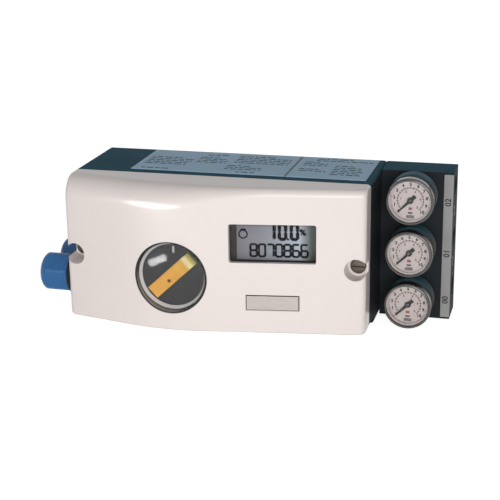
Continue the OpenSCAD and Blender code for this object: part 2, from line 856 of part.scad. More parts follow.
module gauge_bezel(z) {
    r = bezel_d / 2;
    front = gauge_y - bezel_lip_h;
    back = gauge_y + bezel_l;
    inner = case_d / 2 - bezel_lip_w;
    seat = case_d / 2 + fit;
    color("#a5aaad") translate([gauge_cx, 0, z]) rotate([-90, 0, 0]) rotate_extrude() polygon([
        [inner, front], [r - 1.2, front], [r - 0.4, front + 0.4], [r, front + 1.4],
        [r, back - bezel_lip_h], [r - bezel_lip_h, back], [seat, back], [seat, gauge_y + lens_h],
        [lens_r + fit, gauge_y + lens_h], [lens_r + fit, gauge_y], [inner, gauge_y]
    ]);
}

module gauge_needle(z) {
    color("#1b1b1b") translate([gauge_cx, 0, z]) {
        rod_y(0, 0, needle_y - needle_hub_h, needle_y + needle_h, needle_hub_r);
        rod_y(0, 0, needle_y, plate_y1 - fit, spindle_r);
        rotate([0, -45, 0]) along_y(needle_y, needle_y + needle_h) polygon([
            [-needle_reach, -needle_tip_w / 2], [-needle_reach, needle_tip_w / 2],
            [needle_tail, needle_tail_w / 2], [needle_tail, -needle_tail_w / 2]
        ]);
    }
}

module gauge_movement(z) {
    socket_r = stem_r - 1;
    low = -tube_ring_r - tube_cord_r;
    color("#b7924f") translate([gauge_cx, 0, z]) difference() {
        union() {
            translate([0, bourdon_y, 0]) rotate([-90, 0, 0]) rotate([0, 0, 90])
                rotate_extrude(angle = tube_turn) translate([tube_ring_r, 0]) circle(tube_cord_r);
            block([-socket_r, bourdon_y - tube_cord_r, low],
                  [socket_r, case_y1 - case_floor, low + socket_h]);
            block([-plate_half, plate_y0, low], [plate_half, plate_y1, plate_half]);
            block([-post_half, plate_y0, low], [post_half, bourdon_y, low + socket_h]);
        }
        rod_y(0, 0, plate_y0 - cut, plate_y1 + cut, spindle_r + slide_fit);
    }
}

module gauge_movements() {
    for (z = port_zs) gauge_movement(z);
}

// Cable glands, pointing along -x

module hexagon_x(y, z, x0, x1) {
    translate([x0, y, z]) rotate([0, 90, 0]) rotate([0, 0, 90])
        cylinder(h = x1 - x0, d = gland_af / cos(30), $fn = 6);
}

module gland_body(y) {
    color("#2f66a3") difference() {
        union() {
            rod_x(y, gland_z, -cut, gland_boss_l - cut, gland_d / 2 - fit);
            hexagon_x(y, gland_z, -gland_flange, 0);
            rod_x(y, gland_z, -gland_flange - gland_neck_l, 0, gland_neck_r);
        }
        rod_x(y, gland_z, -gland_l, gland_boss_l, gland_bore_r);
    }
}

module gland_cap(y) {
    x1 = -gland_flange - gland_cap_gap;
    r = gland_af / 2 + 1.5;
    color("#2f66a3") difference() {
        intersection() {
            hexagon_x(y, gland_z, -gland_l, x1);
            translate([0, y, gland_z]) rotate([0, -90, 0]) rotate_extrude() {
                translate([0, -x1]) square([r, gland_l + x1 - gland_dome_r]);
                translate([0, -x1]) square([r - gland_dome_r, gland_l + x1]);
                intersection() {
                    translate([r - gland_dome_r, gland_l - gland_dome_r]) circle(gland_dome_r);
                    square([r, gland_l]);
                }
            }
        }
        rod_x(y, gland_z, gland_end - gland_l, 0, gland_neck_r + insert_fit);
        rod_x(y, gland_z, -gland_l - cut, 0, gland_mouth_r);
    }
}

module gland_inserts() {
    color("#20242a") for (y = gland_ys) difference() {
        rod_x(y, gland_z, gland_end - gland_l, -gland_flange - gland_neck_l, gland_neck_r);
        rod_x(y, gland_z, -gland_l, 0, cable_d / 2);
    }
}

// Front cover and what it carries

// Radius of the upper front edge at a place along the cover: wide at the left, sharper at the right
function top_r(x) = let (u = min(1, max(0, (x - blend_x0) / (blend_x1 - blend_x0))))
    top_left_r + (top_right_r - top_left_r) * u * u * (3 - 2 * u);

// How far a rounded corner of radius r has drawn in at a distance d from its end
function draw_in(r, d) = d < r ? r - sqrt(r * r - (r - d) * (r - d)) : 0;

// The cover in plan as a list of places: on the left edge, the crown, the right face or the right edge
cover_places = concat(
    [for (i = [0:side_steps]) ["left", 180 + (90 - flank_angle) * i / side_steps]],
    [for (i = [0:crown_steps]) ["crown", 270 - flank_angle + (flank_angle + slope_angle) * i / crown_steps]],
    [for (i = [1:slope_steps]) ["face", crown_x1 + (blend_x1 - crown_x1) * i / slope_steps]],
    [for (i = [0:side_steps]) ["right", 270 + slope_angle + (90 - slope_angle) * i / side_steps]]
);

// One such place, drawn in by f from the front and by s from the sides, with vertical edges of radius r
function cover_point(place, f, s, r) = let (c = s + r, a = place[1])
    place[0] == "left" ?
        [c + r * cos(a), r * sin(a) + (r + f) / cos(flank_angle) - cover_left - c * tan(flank_angle)] :
    place[0] == "crown" ?
        [crown_cx + (crown_r - f) * cos(a), (crown_r - f) * sin(a) - crown_cy] :
    place[0] == "face" ?
        [a, f / cos(slope_angle) - cover_right - (body_w - a) * tan(slope_angle)] :
        [body_w - c + r * cos(a),
         r * sin(a) + (r + f) / cos(slope_angle) - cover_right - c * tan(slope_angle)];

// One outline of the cover's form at an angle of its edge rounding, in the lower or the upper half
function cover_ring(inset, rear, angle, upper) = let (
    side = max(side_r - inset, 1),
    ring = [for (place = cover_places) let (
        x = cover_point(place, inset, inset, side)[0],
        r = max((upper ? top_r(x) : low_edge_r) - inset, 0.8),
        d = r * (1 - sin(angle)),
        f = inset + r * (1 - cos(angle)),
        p = cover_point(place, f, inset + draw_in(max(corner_r - inset, 0.8), d), side)
    ) [p[0], p[1], upper ? body_h - inset - d : inset + d]],
    first = ring[0],
    last = ring[len(ring) - 1]
) concat([[first[0], rear, first[2]]], ring, [[last[0], rear, last[2]]]);

// The cover's outer form, or the room behind it: outlines stacked from the bottom to the top
module cover_form(inset, rear) {
    rings = concat(
        [for (i = [low_steps:-1:0]) cover_ring(inset, rear, 90 * i / low_steps, false)],
        [for (i = [0:edge_steps]) cover_ring(inset, rear, 90 * i / edge_steps, true)]
    );
    n = len(rings[0]);
    last = len(rings) - 1;
    polyhedron(
        points = [for (ring = rings) for (p = ring) p],
        faces = concat(
            [[for (i = [0:n - 1]) i]],
            [for (j = [0:last - 1]) for (i = [0:n - 1]) let (k = (i + 1) % n)
                [j * n + i, (j + 1) * n + i, (j + 1) * n + k]],
            [for (j = [0:last - 1]) for (i = [0:n - 1]) let (k = (i + 1) % n)
                [j * n + i, (j + 1) * n + k, j * n + k]],
            [[for (i = [n - 1:-1:0]) last * n + i]]
        )
    );
}

// Space behind the cover's front at a distance from it: the crown, and the two flat faces beside it
module behind_front(inset) {
    r = crown_r - inset;
    left = -90 - flank_angle;
    right = -90 + slope_angle;
    translate([crown_cx, -crown_cy, 0]) {
        rotate([0, 0, left - crown_lap]) rotate_extrude(angle = right - left + 2 * crown_lap, $fn = 360)
            translate([r + crown_rise - far, 0]) square([far, body_h]);
        rotate([0, 0, left]) translate([r - far, -far, 0]) cube([far, far, body_h]);
        rotate([0, 0, right]) translate([r - far, 0, 0]) cube([far, 2 * far, body_h]);
    }
}

module cover_shell() {
    ring_r = indicator_d / 2;
    collar_r = disc_r + 2 * free_gap;
    color("#ece6e0") difference() {
        union() {
            difference() {
                cover_form(0, -seal_gap);
                cover_form(cover_wall, cut);
            }
            intersection() {
                cover_form(0, -seal_gap);
                union() {
                    for (x = screw_xs) rod_y(x, screw_z, -far, 0, pocket_d / 2 + cover_wall);
                    rod_y(shaft_x, shaft_z, -far, collar_y, ring_r + collar_wall);
                }
            }
        }
        for (x = screw_xs) {
            rod_y(x, screw_z, -far, -pocket_floor, pocket_d / 2);
            rod_y(x, screw_z, -far, cut, cover_screw_d / 2 + slide_fit);
        }
        rod_y(shaft_x, shaft_z, -far, bezel_y, ring_r);
        rod_y(shaft_x, shaft_z, -far, collar_y + cut, collar_r);
        along_y(-far, -cover_wall) translate([display_x - display_w / 2, display_z - display_h / 2])
            rounded_rect(display_w, display_h, window_r);
        on_slope(plate_x) translate([-plate_w / 2, -cut, plate_z - plate_h / 2])
            cube([plate_w, cut + plate_recess, plate_h]);
    }
}

module cover_screws() {
    color("#8f8d86") for (x = screw_xs)
        screw_y(x, screw_z, -pocket_floor - screw_head_h, screw_head_d, screw_head_h, cover_screw_d,
                pocket_floor + cover_screw_l);
}

module indicator_bezel() {
    r = indicator_d / 2 - fit;
    seat = r - bezel_wall;
    color("#141414") intersection() {
        behind_front(free_gap);
        translate([shaft_x, 0, shaft_z]) rotate([-90, 0, 0]) rotate_extrude() polygon([
            [r, -far], [r, bezel_y], [seat - bezel_lip, bezel_y], [seat - bezel_lip, glass_y],
            [seat, glass_y], [seat, glass_y - glass_h], [r - bezel_rim, -crown_cy - crown_r],
            [r - bezel_rim, -far]
        ]);
    }
}

module indicator_window() {
    r = indicator_d / 2 - bezel_wall - 2 * fit;
    crown = glass_dome_r - sqrt(glass_dome_r * glass_dome_r - r * r);
    front = glass_y - glass_h - crown;
    color("#dce6ea") translate([shaft_x, 0, shaft_z]) rotate([-90, 0, 0]) rotate_extrude() intersection() {
        translate([0, front]) square([r, glass_h + crown]);
        translate([0, front + glass_dome_r]) circle(glass_dome_r, $fn = 720);
    }
}

module display_window() {
    w = display_w + 2 * pane_edge;
    h = display_h + 2 * pane_edge;
    color("#dce6ea") on_slope(display_x) translate([-w / 2, cover_wall + fit, display_z - h / 2])
        cube([w, pane_h, h]);
}

module name_plate() {
    inset = 2 * fit;
    color("#b9b4b0") on_slope(plate_x)
        translate([inset - plate_w / 2, plate_recess - plate_d, plate_z - plate_h / 2 + inset])
            cube([plate_w - 2 * inset, plate_d, plate_h - 2 * inset]);
}

// Nodes

module place() {
    translate([-shaft_x, -body_d, -shaft_z]) children();
}

place() main_housing();
place() cover_gasket();
place() front_shaft_bush();
place() rear_shaft_bush();
place() shaft_seal();
place() position_sensor();
place() circuit_board();
place() operator_panel();
place() panel_screws();
place() display_frame();
place() display_glass();
place() terminal_block();
place() terminal_screws();
place() air_manifold();
place() ip_converter();
place() exhaust_vent();
place() earth_screw();
place() top_label(label_x0, label_split);  // top_label_left
place() top_label(label_split + label_gap, body_w - label_edge);  // top_label_right
place() gauge_block();
place() block_screws();
place() port_seals();
place() port_label_strip();
for (i = [0:2]) {
    n = str(i + 1);
    place() gauge_case(port_zs[i]);
    place() gauge_dial(port_zs[i]);
    place() gauge_lens(port_zs[i]);
    place() gauge_bezel(port_zs[i]);
    place() gauge_needle(port_zs[i]);
}
place() gauge_movements();
for (i = [0:1]) {
    n = str(i + 1);
    place() gland_body(gland_ys[i]);
    place() gland_cap(gland_ys[i]);
}
place() gland_inserts();
place() cover_shell();
place() indicator_bezel();
place() indicator_window();
place() display_window();
place() name_plate();
place() cover_screws();
place() feedback_shaft();
place() pointer_disc();
place() position_pointer();
place() sensor_wiper();
place() shaft_clip();
place() button(0);  // mode_button
place() button(1);  // enter_button
place() button(2);  // up_button
place() button(3);  // down_button
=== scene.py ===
import bpy
import json
import math
from mathutils import Matrix, Quaternion, Vector


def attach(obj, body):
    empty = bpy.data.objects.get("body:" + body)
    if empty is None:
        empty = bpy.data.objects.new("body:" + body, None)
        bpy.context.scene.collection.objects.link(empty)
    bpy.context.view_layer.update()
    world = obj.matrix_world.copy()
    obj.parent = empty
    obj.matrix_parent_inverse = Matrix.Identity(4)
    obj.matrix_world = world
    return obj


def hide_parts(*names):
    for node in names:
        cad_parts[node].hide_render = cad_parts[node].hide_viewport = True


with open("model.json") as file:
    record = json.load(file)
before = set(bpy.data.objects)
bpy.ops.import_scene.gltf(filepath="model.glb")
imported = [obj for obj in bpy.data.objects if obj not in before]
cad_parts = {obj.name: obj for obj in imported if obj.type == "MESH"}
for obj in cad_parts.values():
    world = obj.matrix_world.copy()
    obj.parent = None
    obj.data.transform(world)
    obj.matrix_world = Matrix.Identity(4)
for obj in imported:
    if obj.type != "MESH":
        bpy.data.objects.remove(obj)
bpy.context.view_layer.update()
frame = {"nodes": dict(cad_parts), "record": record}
bodyOf = {node: body for body, nodes in frame["record"]["behaviour"]["bodies"].items() for node in nodes}
slotOf = {part["node"]: part["material_slot"] for part in frame["record"]["subparts"]}
print("frame loaded:", len(frame["nodes"]), "nodes")


# Sizes are millimetres, and places are measured from the housing's left wall, the parting plane and the
# underside; the frame's own origin is on the shaft axis, at the rear face
origin = (79.04, 66, 37.5)
shaftAt = (origin[0], 0, origin[2])
pointerAngle = 43  # degrees, from level at the right
cellAt = (148.97, 63)  # middle of the display, across and upwards
weld = 0.000002  # metres: points closer than this become one
hair = 0.0000001  # metres: a point this close to a level is on it


def place(x, y, z):
    return Vector(((x - origin[0]) / 1000, (y - origin[1]) / 1000, (z - origin[2]) / 1000))


# camera at the photograph's angle

camera = {
    "pivot": (105, 0, 50),
    "yaw": 16.64,
    "pitch": 17.725,
    "roll": -1.228,
    "distance": 884.5,
    "lens": 92.71,
    "shift": (0.0569, -0.0061),
    "clipStart": 0.01,  # metres
}


def makeCamera():
    yaw, pitch, roll = (math.radians(camera[k]) for k in ("yaw", "pitch", "roll"))
    back = Vector((math.sin(yaw) * math.cos(pitch), -math.cos(yaw) * math.cos(pitch), math.sin(pitch)))
    right = Vector((math.cos(yaw), math.sin(yaw), 0))
    up = back.cross(right)
    across = right * math.cos(roll) + up * math.sin(roll)
    upwards = up * math.cos(roll) - right * math.sin(roll)
    spot = place(*camera["pivot"]) + back * camera["distance"] / 1000
    bpy.ops.object.camera_add()
    eye = bpy.context.object
    eye.name = "camera"
    turn = Matrix((across, upwards, back)).transposed().to_4x4()
    eye.matrix_world = Matrix.Translation(spot) @ turn
    eye.data.lens = camera["lens"]
    eye.data.shift_x, eye.data.shift_y = camera["shift"]
    eye.data.clip_start = camera["clipStart"]
    bpy.context.scene.camera = eye


makeCamera()
bpy.context.scene.view_settings.view_transform = "Standard"
print("camera set")


# materials

def linear(hexColour):
    values = []
    for i in (1, 3, 5):
        c = int(hexColour[i:i + 2], 16) / 255
        values.append(c / 12.92 if c <= 0.04045 else ((c + 0.055) / 1.055) ** 2.4)
    return (*values, 1)


def addNode(tree, kind, settings=None, inputs=None):
    node = tree.nodes.new(kind)
    for key, value in (settings or {}).items():
        setattr(node, key, value)
    for key, value in (inputs or {}).items():
        if isinstance(value, bpy.types.NodeSocket):
            tree.links.new(value, node.inputs[key])
        else:
            node.inputs[key].default_value = value
    return node


def startMaterial(title, values):
    material = bpy.data.materials.new(title)
    material.use_nodes = True
    tree = material.node_tree
    tree.nodes.clear()
    shader = addNode(tree, "ShaderNodeBsdfPrincipled", inputs=values)
    addNode(tree, "ShaderNodeOutputMaterial", inputs={"Surface": shader.outputs[0]})
    return material, tree, shader


def feed(tree, shader, sources):
    for name, source in sources.items():
        tree.links.new(source, shader.inputs[name])


# Gives a shader its colour, and its gloss and relief from one pattern; relief is in millimetres
def dress(tree, shader, colour, pattern, rough, relief, strength=1):
    gloss = addNode(tree, "ShaderNodeMapRange", inputs={
        "Value": pattern, "From Min": 0.3, "From Max": 0.7, "To Min": rough[0], "To Max": rough[1]})
    bump = addNode(tree, "ShaderNodeBump", inputs={
        "Height": pattern, "Distance": relief / 1000, "Strength": strength})
    feed(tree, shader, {"Base Color": colour, "Roughness": gloss.outputs[0], "Normal": bump.outputs[0]})


# A surface with a soft colour cloud and a fine grain; cloud, grain and relief are millimetres
def grainedFinish(title, shade, light, cloud, grain, relief, rough, shine=0.5, metallic=0):
    material, tree, shader = startMaterial(title, {"Specular IOR Level": shine, "Metallic": metallic})
    spot = addNode(tree, "ShaderNodeTexCoord").outputs["Object"]
    drift = addNode(tree, "ShaderNodeTexNoise", inputs={"Vector": spot, "Scale": 1000 / cloud, "Detail": 4})
    tint = addNode(tree, "ShaderNodeMix", {"data_type": "RGBA"}, {
        0: drift.outputs["Fac"], 6: linear(shade), 7: linear(light)})
    speck = addNode(tree, "ShaderNodeTexNoise", inputs={"Vector": spot, "Scale": 1000 / grain, "Detail": 2})
    dress(tree, shader, tint.outputs[2], speck.outputs["Fac"], rough, relief)
    return material


# A metal drawn or turned in one direction: noise stretched along it gives fine lines; lines are millimetres
def linedMetal(title, shade, light, lines, rough, metallic):
    material, tree, shader = startMaterial(title, {"Metallic": metallic})
    spot = addNode(tree, "ShaderNodeTexCoord").outputs["Object"]
    stretched = addNode(tree, "ShaderNodeMapping", inputs={
        "Vector": spot, "Scale": tuple(1000 / step for step in lines)})
    streak = addNode(tree, "ShaderNodeTexNoise", inputs={
        "Vector": stretched.outputs[0], "Scale": 1, "Detail": 3})
    tint = addNode(tree, "ShaderNodeMix", {"data_type": "RGBA"}, {
        0: streak.outputs["Fac"], 6: linear(shade), 7: linear(light)})
    dress(tree, shader, tint.outputs[2], streak.outputs["Fac"], rough, 0.02, 0.6)
    return material


# Baked paint with a 0.5 mm orange peel; what faces upwards is painted teal, a painted reflection of a bluish
# sky
def powderCoat(title, dark, shade, light, shine):
    material, tree, shader = startMaterial(title, {"Specular IOR Level": shine})
    spot = addNode(tree, "ShaderNodeTexCoord").outputs["Object"]
    # painted sky reflection: the more a face points upwards, the more it takes the teal colours
    paintedLightFacing = addNode(tree, "ShaderNodeSeparateXYZ", inputs={
        "Vector": addNode(tree, "ShaderNodeNewGeometry").outputs["True Normal"]})
    tintAndPaintedSheen = addNode(tree, "ShaderNodeMapRange", {"interpolation_type": "SMOOTHSTEP"}, {
        "Value": paintedLightFacing.outputs["Z"], "From Min": 0.15, "From Max": 0.95})
    cloud = addNode(tree, "ShaderNodeTexNoise", inputs={"Vector": spot, "Scale": 1000 / 45, "Detail": 3})
    paintedSkyTeal = addNode(tree, "ShaderNodeMix", {"data_type": "RGBA"}, {
        0: cloud.outputs["Fac"], 6: linear(shade), 7: linear(light)})
    tint = addNode(tree, "ShaderNodeMix", {"data_type": "RGBA"}, {
        0: tintAndPaintedSheen.outputs[0], 6: linear(dark), 7: paintedSkyTeal.outputs[2]})
    peel = addNode(tree, "ShaderNodeTexNoise", inputs={"Vector": spot, "Scale": 1000 / 0.5, "Detail": 2})
    dress(tree, shader, tint.outputs[2], peel.outputs["Fac"], (0.5, 0.62), 0.02)
    return material


# each grained finish: two colours, cloud, grain, relief, roughness from and to, and shine
finishes = {
    # Polyester powder on cast aluminium: near black and matt, painted teal on top as a painted sky reflection
    "housing_black": powderCoat("powderCoatedAluminium", "#303437", "#27485a", "#2f6273", 0.015),
    # Moulded polycarbonate: warm off-white, semi-gloss, hardly any texture
    "cover_white": grainedFinish("mouldedPolycarbonate", "#eae0dc", "#eee4e0", 60, 1.5, 0.0002,
                                 (0.22, 0.24), 0.45),
    # Moulded ABS: black, glossy where it left a polished tool
    "black_plastic": grainedFinish("mouldedAbs", "#131415", "#1a1b1c", 30, 0.7, 0.003, (0.2, 0.28), 0.4),
    # Satin ABS: black with a slight grey bloom
    "disc_black": grainedFinish("satinAbs", "#17181a", "#222326", 18, 0.5, 0.004, (0.34, 0.42), 0.35),
    # Panel ABS: mid grey, fine spark-eroded texture
    "panel_grey": grainedFinish("sparkErodedAbs", "#a6acb0", "#b3b8bb", 35, 0.6, 0.015, (0.45, 0.55)),
    # Silicone keys: blue grey, dull
    "button_grey": grainedFinish("siliconeRubber", "#46505a", "#525c66", 12, 0.4, 0.006, (0.5, 0.6)),
    # Polyamide terminals: green, faint flow marks
    "terminal_green": grainedFinish("mouldedPolyamide", "#4f7f40", "#5f9150", 10, 0.5, 0.006, (0.35, 0.45)),
    # Die-cast aluminium: dull grey with a 1.5 mm cast skin
    "alloy_grey": grainedFinish("castAluminium", "#757b80", "#8b9095", 8, 1.5, 0.03, (0.42, 0.55),
                                metallic=0.85),
    # Potted coil resin: warm grey
    "coil_grey": grainedFinish("pottingResin", "#7f8184", "#939598", 14, 0.8, 0.01, (0.3, 0.42)),
    # Nitrile rubber: black, soft bloom
    "rubber_black": grainedFinish("nitrileRubber", "#141414", "#1f1f20", 10, 0.4, 0.01, (0.6, 0.75), 0.25),
    # Printed polyester film: pale blue grey, satin
    "label_blue_grey": grainedFinish("polyesterFilm", "#acd0ea", "#b9daf2", 30, 0.6, 0.003,
                                     (0.48, 0.58), 0.12),
    # Anodised strip: mid grey, satin
    "strip_grey": grainedFinish("anodisedStrip", "#979796", "#a4a4a3", 12, 0.5, 0.004, (0.36, 0.46)),
    # Enamelled sheet dial: pale pinkish white, satin
    "dial_white": grainedFinish("enamelledDial", "#ccc0be", "#d6ccc9", 9, 0.5, 0.002, (0.35, 0.45)),
    # Lacquered needle: black, satin
    "needle_black": grainedFinish("needleLacquer", "#101010", "#1a1a1a", 6, 0.4, 0.002, (0.3, 0.4)),
    # Glass-filled polyamide glands: mid blue, semi-gloss with a 0.8 mm fibre grain
    "gland_blue": grainedFinish("glassFilledPolyamide", "#235f99", "#2e6fab", 16, 0.8, 0.003,
                                (0.24, 0.3), 0.35),
    # Zinc-plated steel screws: warm grey, with faint lines along the shank
    "steel_screw": linedMetal("zincPlatedSteel", "#544d46", "#70675e", (0.8, 6, 0.8), (0.32, 0.45), 0.9),
    # Turned stainless shaft: fine rings 0.4 mm apart along its axis
    "shaft_steel": linedMetal("turnedStainless", "#b9bcc0", "#cfd2d5", (6, 0.4, 6), (0.2, 0.3), 1),
    # Turned brass: yellow, rings 0.5 mm apart
    "brass": linedMetal("turnedBrass", "#a8854a", "#c49d58", (6, 0.5, 6), (0.25, 0.35), 1),
    # Satin aluminium plate: fine lines 0.5 mm apart along the plate
    "plate_silver": linedMetal("satinAluminium", "#a9a09c", "#c6bcb7", (5, 5, 0.5), (0.32, 0.44), 0.55),
    # Black-nickelled steel: dark and polished, with rings left by the spinning
    "gauge_metal": linedMetal("blackNickelledSteel", "#4a4848", "#605e5e", (5, 0.6, 5), (0.12, 0.2), 0.75),
}


# Clear moulded plastic or glass: see-through with a slight grey bloom, polished, a faint waviness 25 mm long
def clearSheet(title, tintAndPaintedSheen, share, index, haze):
    material, tree, shader = startMaterial(title, {
        "Base Color": linear(tintAndPaintedSheen), "Alpha": share, "IOR": index, "Roughness": haze,
        "Specular IOR Level": 1})
    spot = addNode(tree, "ShaderNodeTexCoord").outputs["Object"]
    wave = addNode(tree, "ShaderNodeTexNoise", inputs={"Vector": spot, "Scale": 1000 / 25, "Detail": 1})
    bump = addNode(tree, "ShaderNodeBump", inputs={
        "Height": wave.outputs["Fac"], "Distance": 0.00002, "Strength": 0.3})
    feed(tree, shader, {"Normal": bump.outputs[0]})
    return material


# The flat panes are clearer than the domed window, which shows more of the room
finishes["clear_window"] = clearSheet("clearPolycarbonate", "#3c3c3c", 0.04, 1.6, 0.03)
domedClear = clearSheet("polishedPolycarbonate", "#4a4a49", 0.07, 1.9, 0.09)


# Stoved enamel on sheet steel: golden and a little uneven, with a painted highlight, pale, along the fold and
# painted shade, olive, on the tip
def pointerEnamel():
    material, tree, shader = startMaterial("stovedEnamel", {"Specular IOR Level": 0.5, "Roughness": 0.34})
    spot = addNode(tree, "ShaderNodeTexCoord").outputs["Object"]
    a = math.radians(pointerAngle)
    along = addNode(tree, "ShaderNodeVectorMath", {"operation": "DOT_PRODUCT"}, {
        0: spot, 1: (1000 * math.cos(a), 0, 1000 * math.sin(a))})
    # millimetres from the shaft, from one end of the bar to the other
    share = addNode(tree, "ShaderNodeMapRange", inputs={
        "Value": along.outputs["Value"], "From Min": -20, "From Max": 20})
    fade = addNode(tree, "ShaderNodeValToRGB", inputs={"Fac": share.outputs[0]})
    steps = fade.color_ramp.elements
    steps[0].position, steps[0].color = 0, linear("#fdbb48")
    steps[1].position, steps[1].color = 1, linear("#8f8a4a")
    # the pale stops at the fold are a painted highlight, the olive ones on the tip painted shade
    for at, tone in ((0.45, "#fab546"), (0.78, "#f2b83f"), (0.84, "#fff0bd"), (0.91, "#fbe598"),
                     (0.95, "#bfae4e")):
        steps.new(at).color = linear(tone)
    drift = addNode(tree, "ShaderNodeTexNoise", inputs={"Vector": spot, "Scale": 1000 / 6, "Detail": 3})
    level = addNode(tree, "ShaderNodeMapRange", inputs={
        "Value": drift.outputs["Fac"], "From Min": 0.3, "From Max": 0.7, "To Min": 0.9, "To Max": 1.06})
    tint = addNode(tree, "ShaderNodeHueSaturation", inputs={
        "Color": fade.outputs["Color"], "Value": level.outputs[0]})
    bump = addNode(tree, "ShaderNodeBump", inputs={
        "Height": drift.outputs["Fac"], "Distance": 0.00001, "Strength": 0.5})
    feed(tree, shader, {"Base Color": tint.outputs[0], "Normal": bump.outputs[0]})
    return material


finishes["pointer_yellow"] = pointerEnamel()


# Liquid-crystal cell: violet grey, blue grey under the figures, darker towards the right-hand edge, with
# painted shade towards the top and a painted shadow under the window's upper edge
def crystalCell():
    material, tree, shader = startMaterial("liquidCrystalCell", {"Roughness": 0.3, "Specular IOR Level": 0.3})
    spot = addNode(tree, "ShaderNodeTexCoord").outputs["Object"]
    apart = addNode(tree, "ShaderNodeSeparateXYZ", inputs={"Vector": spot})
    middle = place(cellAt[0], 0, cellAt[1])
    half = 0.0291
    along = addNode(tree, "ShaderNodeMapRange", inputs={
        "Value": apart.outputs["X"], "From Min": middle.x - half, "From Max": middle.x + half})
    fade = addNode(tree, "ShaderNodeValToRGB", inputs={"Fac": along.outputs[0]})
    steps = fade.color_ramp.elements
    steps[0].position, steps[0].color = 0, linear("#86868d")
    steps[1].position, steps[1].color = 1, linear("#232726")
    for at, tone in ((0.25, "#94949c"), (0.45, "#a0a6af"), (0.62, "#b4bec9"), (0.73, "#bfc9d4"),
                     (0.79, "#949da3"), (0.86, "#5a615f"), (0.93, "#3a403e")):
        steps.new(at).color = linear(tone)
    # painted shade towards the top of the cell, then a painted shadow in a band under the window's upper edge
    upwards = addNode(tree, "ShaderNodeMapRange", {"interpolation_type": "SMOOTHSTEP"}, {
        "Value": apart.outputs["Z"], "From Min": middle.z - 0.002, "From Max": middle.z + 0.014,
        "To Min": 1, "To Max": 0.86})
    paintedTopShadow = addNode(tree, "ShaderNodeMapRange", {"interpolation_type": "SMOOTHSTEP"}, {
        "Value": apart.outputs["Z"], "From Min": middle.z + 0.0076, "From Max": middle.z + 0.0096,
        "To Min": 1, "To Max": 0.68})
    level = addNode(tree, "ShaderNodeMath", {"operation": "MULTIPLY"}, {
        0: upwards.outputs[0], 1: paintedTopShadow.outputs[0]})
    shaded = addNode(tree, "ShaderNodeHueSaturation", inputs={
        "Color": fade.outputs["Color"], "Value": level.outputs[0]})
    pixel = addNode(tree, "ShaderNodeTexNoise", inputs={"Vector": spot, "Scale": 1000 / 0.5})
    bump = addNode(tree, "ShaderNodeBump", inputs={
        "Height": pixel.outputs["Fac"], "Distance": 0.000003, "Strength": 0.5})
    feed(tree, shader, {"Base Color": shaded.outputs[0], "Normal": bump.outputs[0]})
    return material


finishes["lcd_glass"] = crystalCell()


# Solder mask over copper: green, in patches about 6 mm across that are lighter over the copper
def solderMask():
    material, tree, shader = startMaterial("solderMask", {"Roughness": 0.32})
    spot = addNode(tree, "ShaderNodeTexCoord").outputs["Object"]
    cells = addNode(tree, "ShaderNodeTexVoronoi", {"distance": "MANHATTAN", "feature": "F1"}, {
        "Vector": spot, "Scale": 1000 / 6})
    track = addNode(tree, "ShaderNodeTexWave", {"bands_direction": "DIAGONAL", "wave_profile": "SIN"}, {
        "Vector": cells.outputs["Position"], "Scale": 1000 / 24, "Distortion": 2})
    tint = addNode(tree, "ShaderNodeMix", {"data_type": "RGBA"}, {
        0: track.outputs["Fac"], 6: linear("#185a31"), 7: linear("#2b8049")})
    bump = addNode(tree, "ShaderNodeBump", inputs={
        "Height": track.outputs["Fac"], "Distance": 0.00004, "Strength": 0.6})
    feed(tree, shader, {"Base Color": tint.outputs[2], "Normal": bump.outputs[0]})
    return material


finishes["board_green"] = solderMask()
# Moulded frame round the cell: dark brown grey, matt
cellFrame = grainedFinish("mattAbs", "#3f3a37", "#4a4542", 12, 0.6, 0.004, (0.5, 0.6), 0.2)
# Moulded acetal skirt: plain white, satin, brighter than the cover's white: painted light on a wall in shade
skirtPaintedLight = grainedFinish("mouldedAcetal", "#f4f2ef", "#faf8f5", 20, 0.8, 0.001, (0.3, 0.36))
# Stoved paint on the gauge cases: warm dark grey, painted teal on top as a painted sky reflection
casePaint = powderCoat("stovedCasePaint", "#43413e", "#2b4c59", "#3a606d", 0.08)


# Smoked acrylic rim: near black, with a painted highlight, paler, on the inner wall below and on the left
def smokedRim():
    material, tree, shader = startMaterial("smokedAcrylic", {"Roughness": 0.14, "Specular IOR Level": 0.4})
    spot = addNode(tree, "ShaderNodeTexCoord").outputs["Object"]
    # painted highlight: faces turned up and to the right, the inner wall below and on the left, take the
    # paler colour
    paintedLightFacing = addNode(tree, "ShaderNodeVectorMath", {"operation": "DOT_PRODUCT"}, {
        0: addNode(tree, "ShaderNodeNewGeometry").outputs["Normal"], 1: (0.6, 0, 0.8)})
    clear = addNode(tree, "ShaderNodeMapRange", {"interpolation_type": "SMOOTHSTEP"}, {
        "Value": paintedLightFacing.outputs["Value"], "From Min": 0.25, "From Max": 0.85})
    tint = addNode(tree, "ShaderNodeMix", {"data_type": "RGBA"}, {
        0: clear.outputs[0], 6: linear("#1d1c1c"), 7: linear("#94908d")})
    wave = addNode(tree, "ShaderNodeTexNoise", inputs={"Vector": spot, "Scale": 1000 / 12, "Detail": 1})
    bump = addNode(tree, "ShaderNodeBump", inputs={
        "Height": wave.outputs["Fac"], "Distance": 0.00002, "Strength": 0.3})
    feed(tree, shader, {"Base Color": tint.outputs[2], "Normal": bump.outputs[0]})
    return material


rimAcrylic = smokedRim()
# Tarnished copper rivet: dark brown
rivetCopper = grainedFinish("tarnishedCopper", "#5a2e12", "#74431e", 2, 0.3, 0.002, (0.35, 0.45), 0.2)


# Screen ink: thin and slightly uneven, so its edges look printed
def screenInk(name, shade, light):
    return grainedFinish("screenInk" + name, shade, light, 4, 0.4, 0.001, (0.4, 0.5))


